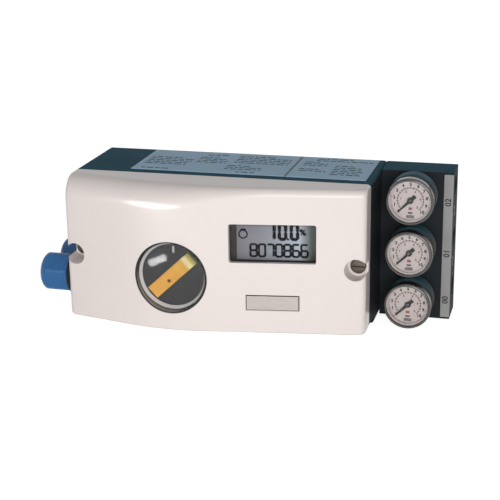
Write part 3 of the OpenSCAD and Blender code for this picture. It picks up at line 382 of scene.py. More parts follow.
inkBlack = screenInk("Black", "#121213", "#1c1d1e")
inkRed = screenInk("Red", "#8c4a44", "#a35a52")
inkBrown = screenInk("Brown", "#5f4a46", "#6f5853")
inkGrey = screenInk("Grey", "#6d6b69", "#7d7b79")
inkWhite = screenInk("White", "#b4b4b2", "#c6c6c4")
# Label ink: blue black and quite dull
inkLabel = grainedFinish("labelInk", "#1c2833", "#293743", 5, 0.4, 0.001, (0.55, 0.65), 0.02)
# Crystal that is switched on: nearly black, with little shine
segmentInk = grainedFinish("crystalSegment", "#06070c", "#0c0d14", 5, 0.4, 0.001, (0.4, 0.5), 0.1)
print("finishes made:", len(finishes))


# modelling helpers: each drives Blender's own operators

def deselect():
    if bpy.context.object and bpy.context.object.mode != "OBJECT":
        bpy.ops.object.mode_set(mode="OBJECT")
    bpy.ops.object.select_all(action="DESELECT")


def pick(piece):
    deselect()
    piece.select_set(True)
    bpy.context.view_layer.objects.active = piece


# Starts a piece as one vertex and draws a line from it; the points are metres in the frame
def drawLine(title, points):
    deselect()
    bpy.ops.mesh.primitive_plane_add(size=0.001)
    piece = bpy.context.object
    piece.name = title
    piece.data.name = title
    bpy.ops.object.mode_set(mode="EDIT")
    bpy.ops.mesh.select_all(action="SELECT")
    bpy.ops.mesh.merge(type="CENTER")
    bpy.ops.transform.translate(value=points[0])
    for before, after in zip(points, points[1:]):
        bpy.ops.mesh.extrude_region_move(TRANSFORM_OT_translate={"value": after - before})
    return piece


# A profile of (radius, y) turned round an axis along y, or of (radius, x) round one along x
def turned(title, profile, centre, axis="y", steps=96):
    x, y, z = centre
    if axis == "y":
        points = [place(x + r, at, z) for r, at in profile]
    else:
        points = [place(at, y, z + r) for r, at in profile]
    piece = drawLine(title, points)
    bpy.ops.mesh.select_all(action="SELECT")
    bpy.ops.mesh.spin(steps=steps, angle=math.tau, center=place(x, y, z),
                      axis=(0, 1, 0) if axis == "y" else (1, 0, 0))
    closeUp()
    return piece


# A flat outline pushed along a direction
def pushed(title, outline, way):
    piece = drawLine(title, outline)
    bpy.ops.mesh.select_all(action="SELECT")
    bpy.ops.mesh.edge_face_add()
    bpy.ops.mesh.extrude_region_move(TRANSFORM_OT_translate={"value": way})
    closeUp()
    return piece


def closeUp():
    bpy.ops.mesh.select_all(action="SELECT")
    bpy.ops.mesh.remove_doubles(threshold=weld)
    bpy.ops.mesh.normals_make_consistent(inside=False)
    bpy.ops.object.mode_set(mode="OBJECT")


def box(title, low, high):
    low, high = place(*low), place(*high)
    deselect()
    bpy.ops.mesh.primitive_cube_add(size=1, location=(low + high) / 2, scale=high - low)
    piece = bpy.context.object
    piece.name = title
    piece.data.name = title
    bpy.ops.object.transform_apply()
    return piece


def modify(piece, kind, settings):
    pick(piece)
    modifier = piece.modifiers.new(kind.lower(), kind)
    for key, value in settings.items():
        setattr(modifier, key, value)
    bpy.ops.object.modifier_apply(modifier=modifier.name)


def cut(piece, tool, how="DIFFERENCE"):
    modify(piece, "BOOLEAN", {"operation": how, "object": tool, "solver": "EXACT"})
    bpy.data.objects.remove(tool)


def soften(piece, width, segments=2, angle=40):
    modify(piece, "BEVEL", {"width": width / 1000, "segments": segments, "limit_method": "ANGLE",
                            "angle_limit": math.radians(angle), "miter_outer": "MITER_ARC"})


def smooth(piece, angle=35):
    pick(piece)
    bpy.ops.object.shade_smooth_by_angle(angle=math.radians(angle))
    modify(piece, "WEIGHTED_NORMAL", {"mode": "FACE_AREA", "weight": 50, "keep_sharp": True})


def paint(piece, material):
    piece.data.materials.clear()
    piece.data.materials.append(material)


# Puts a finished piece in the place of a CAD node, with that node's body and finish
def standFor(piece, node, material=None):
    paint(piece, material or finishes[slotOf[node]])
    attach(piece, bodyOf[node])
    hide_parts(node)


# A printed or fitted extra that no CAD node stands for
def fit(piece, body, material):
    paint(piece, material)
    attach(piece, body)


# A node's own form, joined up, with its sharp edges broken
def eased(node, width, segments=2, material=None):
    source = frame["nodes"][node]
    piece = bpy.data.objects.new(node + ".eased", source.data.copy())
    bpy.context.scene.collection.objects.link(piece)
    pick(piece)
    bpy.ops.object.mode_set(mode="EDIT")
    bpy.ops.mesh.select_all(action="SELECT")
    bpy.ops.mesh.remove_doubles(threshold=weld)
    bpy.ops.mesh.dissolve_limited(angle_limit=math.radians(0.3))
    bpy.ops.object.mode_set(mode="OBJECT")
    soften(piece, width, segments)
    smooth(piece)
    standFor(piece, node, material)


# Another of the same piece, with a mesh of its own
def again(piece, title, shift):
    pick(piece)
    bpy.ops.object.duplicate()
    twin = bpy.context.object
    twin.name = title
    twin.data.name = title
    twin.location = shift
    bpy.ops.object.transform_apply()
    return twin


def joined(title, pieces):
    deselect()
    for piece in pieces:
        piece.select_set(True)
    bpy.context.view_layer.objects.active = pieces[0]
    if len(pieces) > 1:
        bpy.ops.object.join()
    pieces[0].name = title
    pieces[0].data.name = title
    return pieces[0]


# Flat figures that face the front, turned as a clock hand turns
def letters(words, height, centre, turn=0, bold=0):
    deselect()
    bpy.ops.object.text_add()
    text = bpy.context.object
    text.data.body = words
    text.data.size = height / 1000
    text.data.align_x = "CENTER"
    text.data.align_y = "CENTER"
    text.data.resolution_u = 3
    text.data.offset = bold / 1000
    bpy.ops.object.convert(target="MESH")
    text.matrix_world = (Matrix.Translation(place(*centre)) @ Matrix.Rotation(math.radians(turn), 4, "Y")
                         @ Matrix.Rotation(math.radians(90), 4, "X"))
    bpy.ops.object.transform_apply()
    return text


# cover: crowned moulding whose upper front edge is well rounded at the left and sharper at the right

cover = {
    "width": 208, "height": 100, "wall": 3, "gap": 0.4,
    "leftDepth": 23, "rightDepth": 16.7,
    "flank": math.radians(12), "slope": math.radians(9.2), "crown": 146,
    "topLeft": 16, "topRight": 5, "blend": (62.4, 149.76),
    "lowEdge": 1.8, "sideEdge": 4.2, "corner": 2.5, "leastSide": 1, "leastEdge": 0.8,
    "screws": (6.5, 201.5), "screwZ": 46, "pocket": 7.5, "pocketFloor": -6, "screwHole": 2.15,
    "indicator": 25.25, "indicatorSeat": -31.3, "collar": (27.25, 23.1, -27),
    "window": (147.47, 63, 57.2, 26.6, 1.5), "plate": (147.47, 21.9, 36, 11, 0.5),
    "columns": (12, 8, 44, 30, 12), "rows": (6, 26, 16),
    # depths where the cutting tools start and end
    "ahead": -60, "roomEnd": 1, "bossEnd": 3, "holeEnd": 2, "windowEnd": -3,
}


# The middle of the crown's curve, across and behind the parting plane
def crownPlace():
    c = cover
    apex = ((c["rightDepth"] + c["width"] * math.tan(c["slope"]) - c["leftDepth"])
            / (math.tan(c["flank"]) + math.tan(c["slope"])))
    reach = c["crown"] * math.tan((c["flank"] + c["slope"]) / 2)
    start = apex - reach * math.cos(c["flank"])
    middle = start + c["crown"] * math.sin(c["flank"])
    behind = c["leftDepth"] + start * math.tan(c["flank"]) - c["crown"] * math.cos(c["flank"])
    return middle, behind


crownMiddle, crownBehind = crownPlace()


def topRadius(x):
    low, high = cover["blend"]
    u = min(1, max(0, (x - low) / (high - low)))
    return cover["topLeft"] + (cover["topRight"] - cover["topLeft"]) * u * u * (3 - 2 * u)


def drawIn(radius, depth):
    return radius - math.sqrt(radius ** 2 - (radius - depth) ** 2) if depth < radius else 0


# Where a column of the cover lies in plan, as a kind and an angle or a place along it
def coverColumns():
    left, flank, crown, face, right = cover["columns"]
    quarter = math.pi / 2
    a, b = cover["flank"], cover["slope"]
    columns = [("left", math.pi + (quarter - a) * i / left) for i in range(left + 1)]
    columns += [("flank", i / flank) for i in range(1, flank)]
    columns += [("crown", 3 * quarter - a + (a + b) * i / crown) for i in range(crown + 1)]
    columns += [("face", i / face) for i in range(1, face)]
    columns += [("right", 3 * quarter + b + (quarter - b) * i / right) for i in range(right + 1)]
    return columns


# A column's point, drawn in by f from the front and s from the sides
def coverPoint(column, f, s, r):
    c = cover
    kind, at = column
    inset = s + r
    if kind == "left":
        return (inset + r * math.cos(at), r * math.sin(at) + (r + f) / math.cos(c["flank"])
                - c["leftDepth"] - inset * math.tan(c["flank"]))
    if kind == "right":
        return (c["width"] - inset + r * math.cos(at), r * math.sin(at) + (r + f) / math.cos(c["slope"])
                - c["rightDepth"] - inset * math.tan(c["slope"]))
    if kind == "crown":
        return (crownMiddle + (c["crown"] - f) * math.cos(at), (c["crown"] - f) * math.sin(at) - crownBehind)
    if kind == "flank":
        low = coverPoint(("left", 1.5 * math.pi - c["flank"]), f, s, r)
        high = coverPoint(("crown", 1.5 * math.pi - c["flank"]), f, s, r)
    else:
        low = coverPoint(("crown", 1.5 * math.pi + c["slope"]), f, s, r)
        high = coverPoint(("right", 1.5 * math.pi + c["slope"]), f, s, r)
    return (low[0] + (high[0] - low[0]) * at, low[1] + (high[1] - low[1]) * at)


# A row is at an angle on the lower or upper edge, or at a share of the height between them
def coverSpot(column, row, inset):
    side = max(cover["sideEdge"] - inset, cover["leastSide"])
    corner = max(cover["corner"] - inset, cover["leastEdge"])
    p = coverPoint(column, inset, inset, side)
    lower = max(cover["lowEdge"] - inset, cover["leastEdge"])
    upper = max(topRadius(p[0]) - inset, cover["leastEdge"])
    kind, at = row
    if kind == "body":
        low, high = inset + lower, cover["height"] - inset - upper
        return p[0], p[1], low + (high - low) * at
    radius = lower if kind == "low" else upper
    depth = radius * (1 - math.sin(at))
    p = coverPoint(column, inset + radius * (1 - math.cos(at)), inset + drawIn(corner, depth), side)
    return p[0], p[1], inset + depth if kind == "low" else cover["height"] - inset - depth


def coverForm(title, inset, rear):
    columns = coverColumns()
    low, body, high = cover["rows"]
    quarter = math.pi / 2
    rows = [("low", quarter * (1 - i / low)) for i in range(low)]
    rows += [("body", i / body) for i in range(body + 1)]
    rows += [("high", quarter * i / high) for i in range(1, high + 1)]
    across, upwards = len(columns) + 1, len(rows) - 1
    deselect()
    bpy.ops.mesh.primitive_grid_add(x_subdivisions=across, y_subdivisions=upwards, size=1)
    piece = bpy.context.object
    piece.name = title
    # every point of the grid goes to its column and row; the two outer columns lie in the parting plane
    for vertex in piece.data.vertices:
        i = round((vertex.co.x + 0.5) * across)
        j = round((vertex.co.y + 0.5) * upwards)
        x, y, z = coverSpot(columns[min(max(i - 1, 0), len(columns) - 1)], rows[j], inset)
        vertex.co = place(x, rear if i in (0, across) else y, z)
    bpy.ops.object.mode_set(mode="EDIT")
    for edge in (inset, cover["height"] - inset):
        bpy.ops.mesh.select_all(action="DESELECT")
        bpy.ops.object.mode_set(mode="OBJECT")
        level = place(0, 0, edge).z
        for vertex in piece.data.vertices:
            vertex.select = abs(vertex.co.z - level) < hair
        bpy.ops.object.mode_set(mode="EDIT")
        bpy.ops.mesh.edge_face_add()
    bpy.ops.mesh.select_all(action="DESELECT")
    bpy.ops.mesh.select_non_manifold(extend=False)
    bpy.ops.mesh.edge_face_add()
    closeUp()
    return piece


def roundedOutline(centreX, centreZ, width, height, radius, y, steps=6):
    points = []
    for cornerX, cornerZ, start in ((1, 1, 0), (-1, 1, 90), (-1, -1, 180), (1, -1, 270)):
        for i in range(steps + 1):
            a = math.radians(start + 90 * i / steps)
            points.append(place(centreX + cornerX * (width / 2 - radius) + radius * math.cos(a), y,
                                centreZ + cornerZ * (height / 2 - radius) + radius * math.sin(a)))
    return points


# Turns a piece made about the frame's origin to lie along the cover's right-hand face
def leaned(piece, x, y):
    piece.matrix_world = Matrix.Translation(place(x, y, origin[2])) @ Matrix.Rotation(cover["slope"], 4, "Z")
    pick(piece)
    bpy.ops.object.transform_apply()
    return piece


# A box on that face: low and high are along the face, into the cover and upwards
def onSlope(title, x, low, high):
    piece = box(title, (origin[0] + low[0], origin[1] + low[1], low[2]),
                (origin[0] + high[0], origin[1] + high[1], high[2]))
    return leaned(piece, x, -cover["rightDepth"] - (cover["width"] - x) * math.tan(cover["slope"]))


def makeCover():
    c = cover
    shell = coverForm("coverShell", 0, -c["gap"])
    room = coverForm("coverRoom", c["wall"], c["roomEnd"])
    ahead = c["ahead"]
    outer, inner, rear = c["collar"]
    boss, end = c["pocket"] + c["wall"], c["bossEnd"]
    for x in c["screws"]:
        cut(room, turned("boss", [(0, ahead), (boss, ahead), (boss, end), (0, end)], (x, 0, c["screwZ"]),
                         steps=64))
    cut(room, turned("collar", [(0, ahead), (outer, ahead), (outer, rear), (0, rear)], shaftAt))
    cut(shell, room)
    pocket, floor, hole, end = c["pocket"], c["pocketFloor"], c["screwHole"], c["holeEnd"]
    for x in c["screws"]:
        cut(shell, turned("pocket", [(0, ahead), (pocket, ahead), (pocket, floor), (hole, floor), (hole, end),
                                     (0, end)], (x, 0, c["screwZ"]), steps=64))
    wide, seat = c["indicator"], c["indicatorSeat"]
    cut(shell, turned("indicatorHole", [(0, ahead), (wide, ahead), (wide, seat), (inner, seat),
                                        (inner, rear + 1), (0, rear + 1)], shaftAt, steps=128))
    x, z, w, h, r = c["window"]
    cut(shell, pushed("windowHole", roundedOutline(x, z, w, h, r, ahead),
                      Vector((0, (c["windowEnd"] - ahead) / 1000, 0))))
    x, z, w, h, d = c["plate"]
    cut(shell, onSlope("plateRecess", x, (-w / 2, -1, z - h / 2), (w / 2, d, z + h / 2)))
    smooth(shell, 30)
    standFor(shell, "cover_shell")


makeCover()
print("cover moulded")


# round window with its pointer

indicator = {
    "outer": 25.2, "rim": 0.8, "wall": 1.5, "lip": 0.35, "seat": -31.3, "trim": 0.3, "ahead": -60,
    "glass": -32.3, "glassEdge": 1.2, "dome": 150, "glassRadius": 23.65, "domeSteps": 16,
    "disc": (22.5, -28.5, -26.5), "discEdge": 0.5, "hub": (6, 3.05, -18.5),
    "pointer": (40, 9.5, -28.5, 1.5), "tip": (7, 2, 1.6),
    "skirt": (23.05, 21.85, -31.25, -28.85), "rivet": (-2.6, -4.2), "mark": (1.9, 19.2, 1.5, 4.8),
    "rivetHead": ((0, -0.25), (0.9, -0.25), (1.25, -0.05), (1.25, 0.3), (0, 0.3)),
    "markDepth": (0.02, 0.14), "steps": 128,
}


def makeBezel():
    v = indicator
    outer, glass, seat, ahead = v["outer"], v["glass"], v["seat"], v["ahead"]
    bore = outer - v["wall"]
    peak = -crownBehind - cover["crown"]
    ring = turned("indicatorBezel", [
        (outer, ahead), (outer, seat), (bore - v["lip"], seat), (bore - v["lip"], glass), (bore, glass),
        (bore, glass - v["glassEdge"]), (outer - v["rim"], peak), (outer - v["rim"], ahead), (outer, ahead)],
        shaftAt, steps=v["steps"])
    cut(ring, coverForm("bezelTrim", v["trim"], 1), "INTERSECT")
    soften(ring, 0.18, 2)
    smooth(ring)
    standFor(ring, "indicator_bezel", rimAcrylic)


def makeRoundWindow():
    v = indicator
    r, dome, count = v["glassRadius"], v["dome"], v["domeSteps"]
    top = v["glass"] - v["glassEdge"] - (dome - math.sqrt(dome ** 2 - r ** 2))
    radii = [r * i / count for i in range(count + 1)]
    curve = [(at, top + dome - math.sqrt(dome ** 2 - at ** 2)) for at in radii]
    window = turned("indicatorWindow", curve + [(r, v["glass"]), (0, v["glass"])], shaftAt, steps=v["steps"])
    smooth(window)
    standFor(window, "indicator_window", domedClear)


def makeDisc():
    v = indicator
    radius, front, back = v["disc"]
    hub, bore, rear = v["hub"]
    edge = v["discEdge"]
    disc = turned("pointerDisc", [
        (0, front), (radius - edge, front), (radius, front + edge), (radius, back), (hub, back), (hub, rear),
        (bore, rear), (bore, back), (0, back)], shaftAt, steps=v["steps"])
    smooth(disc)
    standFor(disc, "pointer_disc")


def makePointer():
    v = indicator
    length, width, back, thick = v["pointer"]
    bent, flat, rise = v["tip"]
    a = math.radians(pointerAngle)
    half, face = length / 2, back - thick
    shape = [(-half, back), (half, back), (half, face - rise), (half - flat, face - rise),
             (half - bent, face), (-half, face)]
    # drawn edge-on along the bar, then pushed across it
    across = Vector((math.sin(a), 0, -math.cos(a))) * width / 1000
    x, z = shaftAt[0], shaftAt[2]
    outline = [place(x + s * math.cos(a), depth, z + s * math.sin(a)) - across / 2 for s, depth in shape]
    bar = pushed("positionPointer", outline, across)
    soften(bar, 0.35, 3)
    smooth(bar)
    standFor(bar, "position_pointer")
    alongX, alongZ = v["rivet"]
    rivet = turned("pointerRivet", [(r, face + out) for r, out in v["rivetHead"]],
                   (x + alongX, 0, z + alongZ), steps=24)
    smooth(rivet)
    fit(rivet, "shaft", rivetCopper)


# Fixed mark behind the glass at the top of the scale, and the white skirt that slopes down to the disc, its
# bright white painted light in the shaded recess
def makeMarkAndSkirt():
    v = indicator
    x, z = shaftAt[0], shaftAt[2]
    across, upwards, wide, high = v["mark"]
    near, far = v["markDepth"]
    mark = box("indicatorMark", (x + across - wide / 2, v["glass"] + near, z + upwards - high / 2),
               (x + across + wide / 2, v["glass"] + far, z + upwards + high / 2))
    soften(mark, 0.04, 1)
    smooth(mark)
    fit(mark, "cover", inkWhite)
    outer, inner, near, far = v["skirt"]
    # painted light: the skirt's bright white stands for a bright crescent where the recess lies in shade
    skirt = turned("indicatorSkirt", [(outer, near), (inner, far), (outer, far), (outer, near)], shaftAt,
                   steps=v["steps"])
    smooth(skirt)
    fit(skirt, "cover", skirtPaintedLight)


makeBezel()
makeRoundWindow()
makeDisc()
makePointer()
makeMarkAndSkirt()
print("indicator fitted")


# display behind its window

display = {
    "x": cellAt[0], "y": -14, "z": cellAt[1], "frame": (72.2, 43.6), "corner": 2, "ahead": -30, "back": -3,
    "glass": (56.4, 29.6, 1.4), "frontCut": (60, 40, 100),
    "window": (147.47, 57.2, 26.6), "pane": (2.5, 3.05, 2),
    "large": (4.2, 10.1, 2.35), "largeRow": ((-5.1, "1"), (2.55, "0"), (10.46, "0")), "largeZ": 67.9,
    "small": (4.2, 8.4, 1.5), "smallRow": "8070866", "smallStart": -16.9, "smallStep": 5.67, "smallZ": 54.9,
    "point": (6.2, 62.8, 1.4), "share": (16.0, 67.8), "dialIcon": (-23.84, 66.0, 3.25, 0.95),
    # the share sign's squares: across, upwards and width
    "shareParts": ((-1.1, 1.2, 2), (1.1, -1.2, 2), (0, 0, 1.9), (0.9, 1.3, 1.1), (-0.9, -1.3, 1.1)),
    "iconTop": (3.6, 1.3), "gap": 0.25, "ink": 0.06, "inkDepth": 0.05,
}
# the seven bars of a figure: top, upper right, lower right, bottom, lower left, upper left, middle
figures = {"0": "abcdef", "1": "bc", "2": "abged", "3": "abgcd", "4": "fgbc", "5": "afgcd", "6": "afgedc",
           "7": "abc", "8": "abcdefg", "9": "abfgcd"}


# A point of the display before it is leaned: along it, out of its face and upwards
def cellPoint(along, out, z):
    return place(origin[0] + along, origin[1] - out, z)


def barOutline(x, z, length, thick, upright):
    h, t = length / 2, thick / 2
    points = [(-h, 0), (-h + t, t), (h - t, t), (h, 0), (h - t, -t), (-h + t, -t)]
    if upright:
        points = [(q, p) for p, q in points]
    return [cellPoint(x + p, display["ink"], z + q) for p, q in points]


def figure(sign, x, z, size):
    w, h, t = size
    half, quarter = w / 2, h / 4
    spots = {"a": (x, z + h / 2, False), "d": (x, z - h / 2, False), "g": (x, z, False),
             "b": (x + half, z + quarter, True), "c": (x + half, z - quarter, True),
             "e": (x - half, z - quarter, True), "f": (x - half, z + quarter, True)}
    made = []
    for name in figures[sign]:
        px, pz, upright = spots[name]
        length = (h / 2 if upright else w) + t / 2 - display["gap"]
        made.append(pushed("bar", barOutline(px, pz, length, t, upright),
                           Vector((0, display["inkDepth"] / 1000, 0))))
    return made


def patch(x, z, wide, high):
    return box("patch", (origin[0] + x - wide / 2, origin[1] - display["ink"], z - high / 2),
               (origin[0] + x + wide / 2, origin[1] - display["ink"] + display["inkDepth"], z + high / 2))


def makeDisplay():
    d = display
    w, h = d["frame"]
    glassW, glassH, glassT = d["glass"]
    body = pushed("displayFrame", roundedOutline(d["x"], d["z"], w, h, d["corner"], d["ahead"]),
                  Vector((0, (d["back"] - d["ahead"]) / 1000, 0)))
    side, depth, top = d["frontCut"]
    front = box("frontCut", (origin[0] - side, origin[1] - depth, 0), (origin[0] + side, origin[1], top))
    cut(body, leaned(front, d["x"], d["y"]))
    well = box("well", (origin[0] - glassW / 2, origin[1] - 1, d["z"] - glassH / 2),
               (origin[0] + glassW / 2, origin[1] + glassT, d["z"] + glassH / 2))
    cut(body, leaned(well, d["x"], d["y"]))
    soften(body, 0.3)
    smooth(body)
    standFor(body, "display_frame", cellFrame)
    cell = box("displayGlass", (origin[0] - glassW / 2, origin[1], d["z"] - glassH / 2),
               (origin[0] + glassW / 2, origin[1] + glassT, d["z"] + glassH / 2))
    leaned(cell, d["x"], d["y"])
    soften(cell, 0.15, 1)
    smooth(cell)
    standFor(cell, "display_glass")
    lap, into, thick = d["pane"]
    x, windowW, windowH = d["window"]
    pw, ph = windowW + 2 * lap, windowH + 2 * lap
    pane = onSlope("displayWindow", x, (-pw / 2, into, d["z"] - ph / 2),
                   (pw / 2, into + thick, d["z"] + ph / 2))
    soften(pane, 0.2, 2)
    smooth(pane)
    standFor(pane, "display_window")
    bars = []
    for along, sign in d["largeRow"]:
        bars += figure(sign, along, d["largeZ"], d["large"])
    for i, sign in enumerate(d["smallRow"]):
        bars += figure(sign, d["smallStart"] + i * d["smallStep"], d["smallZ"], d["small"])
    along, z, wide = d["point"]
    bars.append(patch(along, z, wide, wide))
    # share sign: a stroke of three steps between two dots
    along, z = d["share"]
    for dx, dz, wide in d["shareParts"]:
        bars.append(patch(along + dx, z + dz, wide, wide))
    along, z, outer, stroke = d["dialIcon"]
    inner, near = outer - stroke, origin[1] - d["ink"]
    far = near + d["inkDepth"]
    bars.append(turned("dialIcon", [(inner, near), (outer, near), (outer, far), (inner, far), (inner, near)],
                       (origin[0] + along, 0, z), steps=40))
    bars.append(patch(along, z + outer, *d["iconTop"]))
    shown = leaned(joined("displayFigures", bars), d["x"], d["y"])
    fit(shown, "housing", segmentInk)


makeDisplay()
print("display lit")


# name plate and the slotted cover screws

plate = {
    "x": 147.47, "z": 21.9, "width": 34.7, "height": 9.7, "front": -0.4, "back": 0.34,
    "seat": (35.8, 10.8, 0.5), "filmGap": 0.01,
}
screw = {
    "xs": (6.5, 201.5), "z": 46, "head": 5.25, "front": -9, "under": -6, "shank": 2, "end": 16,
    "slot": (1.2, 1.6), "slotReach": 8,
}


def makePlate():
    p = plate
    piece = onSlope("namePlate", p["x"], (-p["width"] / 2, p["front"], p["z"] - p["height"] / 2),
                    (p["width"] / 2, p["back"], p["z"] + p["height"] / 2))
    soften(piece, 0.25, 3)
    smooth(piece)
    standFor(piece, "name_plate")
    # dark adhesive film that shows as a thin border, painted shade of the gap round the plate
    wide, high, floor = p["seat"]
    film = onSlope("plateFilm", p["x"], (-wide / 2, p["back"] + p["filmGap"], p["z"] - high / 2),
                   (wide / 2, floor - p["filmGap"], p["z"] + high / 2))
    soften(film, 0.05, 1)
    smooth(film)
    fit(film, "cover", finishes["rubber_black"])


def makeScrews():
    s = screw
    wide, deep = s["slot"]
    front, under, end, reach = s["front"], s["under"], s["end"], s["slotReach"]
    head, shank = s["head"], s["shank"]
    made = []
    for x in s["xs"]:
        piece = turned("coverScrew", [
            (0, front), (head - 0.9, front), (head - 0.25, front + 0.3), (head, front + 0.9), (head, under),
            (shank, under), (shank, end - 1), (shank - 0.7, end), (0, end)], (x, 0, s["z"]), steps=64)
        cut(piece, box("slot", (x - reach, front - 1, s["z"] - wide / 2),
                       (x + reach, front + deep, s["z"] + wide / 2)))
        made.append(piece)
    pair = joined("coverScrews", made)
    smooth(pair)
    standFor(pair, "cover_screws")


makePlate()
makeScrews()
print("plate and screws fitted")


# pressure gauges

gauge = {
    "x": 232.6, "zs": (15.7, 52, 88.3), "front": 3.4, "bezel": 16, "open": 14, "bezelBack": 9.5,
    "lens": (14.4, 4.05, 5.45), "seat": 14.35, "dial": (13.25, 8.6, 9.2), "rim": (13.1, 13.27, 14.2, 5.47),
    "spindle": 0.85, "sweep": (225, -45), "needle": (10.8, 4.5, 0.9, 2.6), "needleY": (7.3, 7.9),
    "hub": (2.1, 6.9), "cap": (0.95, 6.7), "pin": (0.7, 14.15),
    # printing: how many figures, their radius and height; how many ticks, from one radius to another
    "figures": (11, 10.9, 2.9), "innerFigures": (6, 6.5, 2), "arc": (8.4, 8.8), "ticks": (51, 12.5, 13.1),
    "innerTicks": (21, 7.7, 9.2), "tickWidths": (0.42, 0.2), "longTick": 0.3, "bold": 0.14,
    # blocks below the middle: from one radius to another, and width
    "redBlock": (4.7, 6.5, 2.4), "brownBlock": (7.9, 9.2, 3), "greyBlock": (10, 12.2, 5.2),
    "ink": 0.05, "inkDepth": 0.03, "restAngle": 45, "down": 270,
    # the bezel's rolled lip, from its inner edge outwards: from the outer radius, from the front
    "roll": ((-1.2, 0), (-0.75, 0.15), (-0.3, 0.5), (-0.06, 1), (0, 1.5)),
}


# Where the print lies: at a radius and an angle in radians
def dialSpot(radius, a, z):
    g = gauge
    return g["x"] + radius * math.cos(a), g["dial"][1] - g["ink"], z + radius * math.sin(a)


# A mark on the dial: a thin bar from one radius to another at an angle
def dialMark(angle, inner, outer, wide, z):
    a = math.radians(angle)
    along = Vector((math.cos(a), 0, math.sin(a)))
    side = Vector((-math.sin(a), 0, math.cos(a))) * wide / 2000
    middle = place(*dialSpot(0, a, z))
    low, high = middle + along * inner / 1000, middle + along * outer / 1000
    return pushed("mark", [low + side, high + side, high - side, low - side],
                  Vector((0, gauge["inkDepth"] / 1000, 0)))


def dialArc(inner, outer, z, steps=60):
    start, end = (math.radians(a) for a in gauge["sweep"])
    points = []
    for radius, order in ((inner, range(steps + 1)), (outer, range(steps, -1, -1))):
        for i in order:
            points.append(place(*dialSpot(radius, start + (end - start) * i / steps, z)))
    return pushed("arc", points, Vector((0, gauge["inkDepth"] / 1000, 0)))


# The angles of so many marks, from the start of the sweep to its end
def dialAngles(count):
    start, end = gauge["sweep"]
    return [start + (end - start) * i / (count - 1) for i in range(count)]


def dialFigures(count, radius, height, z):
    made = []
    for i, angle in enumerate(dialAngles(count)):
        spot = dialSpot(radius, math.radians(angle), z)
        made.append(letters(str(i), height, spot, bold=gauge["bold"]))
    return made


# The four inks on the first dial, each as one piece
def dialPrint(z):
    g = gauge
    broad, fine = g["tickWidths"]
    count, inner, outer = g["ticks"]
    black = dialFigures(*g["figures"], z)
    for i, angle in enumerate(dialAngles(count)):
        if i % 5:
            black.append(dialMark(angle, inner, outer, fine, z))
        else:
            black.append(dialMark(angle, inner - g["longTick"], outer, broad, z))
    count, inner, outer = g["innerTicks"]
    brown = [dialArc(*g["arc"], z), dialMark(g["down"], *g["brownBlock"], z)]
    brown += [dialMark(angle, inner, outer, broad, z) for angle in dialAngles(count)]
    red = dialFigures(*g["innerFigures"], z) + [dialMark(g["down"], *g["redBlock"], z)]
    grey = [dialMark(g["down"], *g["greyBlock"], z)]
    return [(joined("gaugeScale1", black), inkBlack), (joined("gaugeInnerScale1", brown), inkBrown),
            (joined("gaugeInnerFigures1", red), inkRed), (joined("gaugeField1", grey), inkGrey)]


def makeNeedle(centre):
    g = gauge
    reach, tail, tip, broad = g["needle"]
    near, far = g["needleY"]
    a = math.radians(g["restAngle"])
    along = Vector((math.cos(a), 0, math.sin(a)))
    side = Vector((-math.sin(a), 0, math.cos(a)))
    middle = place(g["x"], near, centre[2])
    shape = ((-reach, tip), (tail, broad), (tail, -broad), (-reach, -tip))
    outline = [middle + along * s / 1000 + side * w / 2000 for s, w in shape]
    hand = pushed("hand", outline, Vector((0, (far - near) / 1000, 0)))
    soften(hand, 0.08, 1)
    radius, front = g["hub"]
    pin, pinEnd = g["pin"]
    hub = turned("hub", [
        (0, front), (radius - 0.25, front), (radius, front + 0.25), (radius, far), (pin, far), (pin, pinEnd),
        (0, pinEnd)], centre, steps=48)
    hand = joined("gaugeNeedle1", [hand, hub])
    smooth(hand)
    return hand


# Rolled bezel: a rounded lip over the glass, and a folded rear edge
def makeGaugeBezel(centre):
    g = gauge
    front, back, r, hole, seat = g["front"], g["bezelBack"], g["bezel"], g["open"], g["seat"]
    groove, lensBack = g["lens"][0] + 0.05, g["lens"][2]
    lip = [(hole, front + 0.6), (hole, front + 0.25), (hole + 0.2, front)]
    roll = [(r + out, front + deep) for out, deep in g["roll"]]
    fold = [(r, back - 0.6), (r - 0.2, back - 0.2), (r - 0.6, back), (seat, back), (seat, lensBack),
            (groove, lensBack), (groove, front + 0.6), (hole, front + 0.6)]
    ring = turned("gaugeBezel1", lip + roll + fold, centre)
    smooth(ring, 50)
    return ring


# The first gauge's pieces by node, what else is on its dial, and its needle's polished cap
def makeGauge(z):
    g = gauge
    centre = (g["x"], 0, z)
    ring = makeGaugeBezel(centre)
    radius, front, back = g["lens"]
    lens = turned("gaugeLens1", [
        (0, front), (radius - 0.3, front), (radius, front + 0.3), (radius, back), (0, back)], centre)
    smooth(lens)
    radius, front, back = g["dial"]
    spindle = g["spindle"]
    dial = turned("gaugeDial1", [
        (spindle, front), (radius - 0.15, front), (radius, front + 0.15), (radius, back), (spindle, back),
        (spindle, front)], centre)
    smooth(dial)
    # the dial's turned-up rim, white, out to the edge of the case
    inner, bore, outer, near = g["rim"]
    foot = front - 0.02
    rim = turned("gaugeRim1", [
        (outer, near), (outer, near + 0.1), (bore, near + 0.1), (bore, foot), (inner, foot), (inner, near),
        (outer, near)], centre)
    smooth(rim)
    radius, front = g["cap"]
    foot = g["hub"][1] + 0.1
    cap = turned("needleCap1", [
        (0, front), (radius - 0.3, front), (radius, front + 0.12), (radius, foot), (0, foot)],
        centre, steps=32)
    smooth(cap)
    solids = {"gauge_bezel": ring, "gauge_lens": lens, "gauge_dial": dial, "gauge_needle": makeNeedle(centre)}
    return solids, dialPrint(z) + [(rim, finishes["dial_white"])], cap


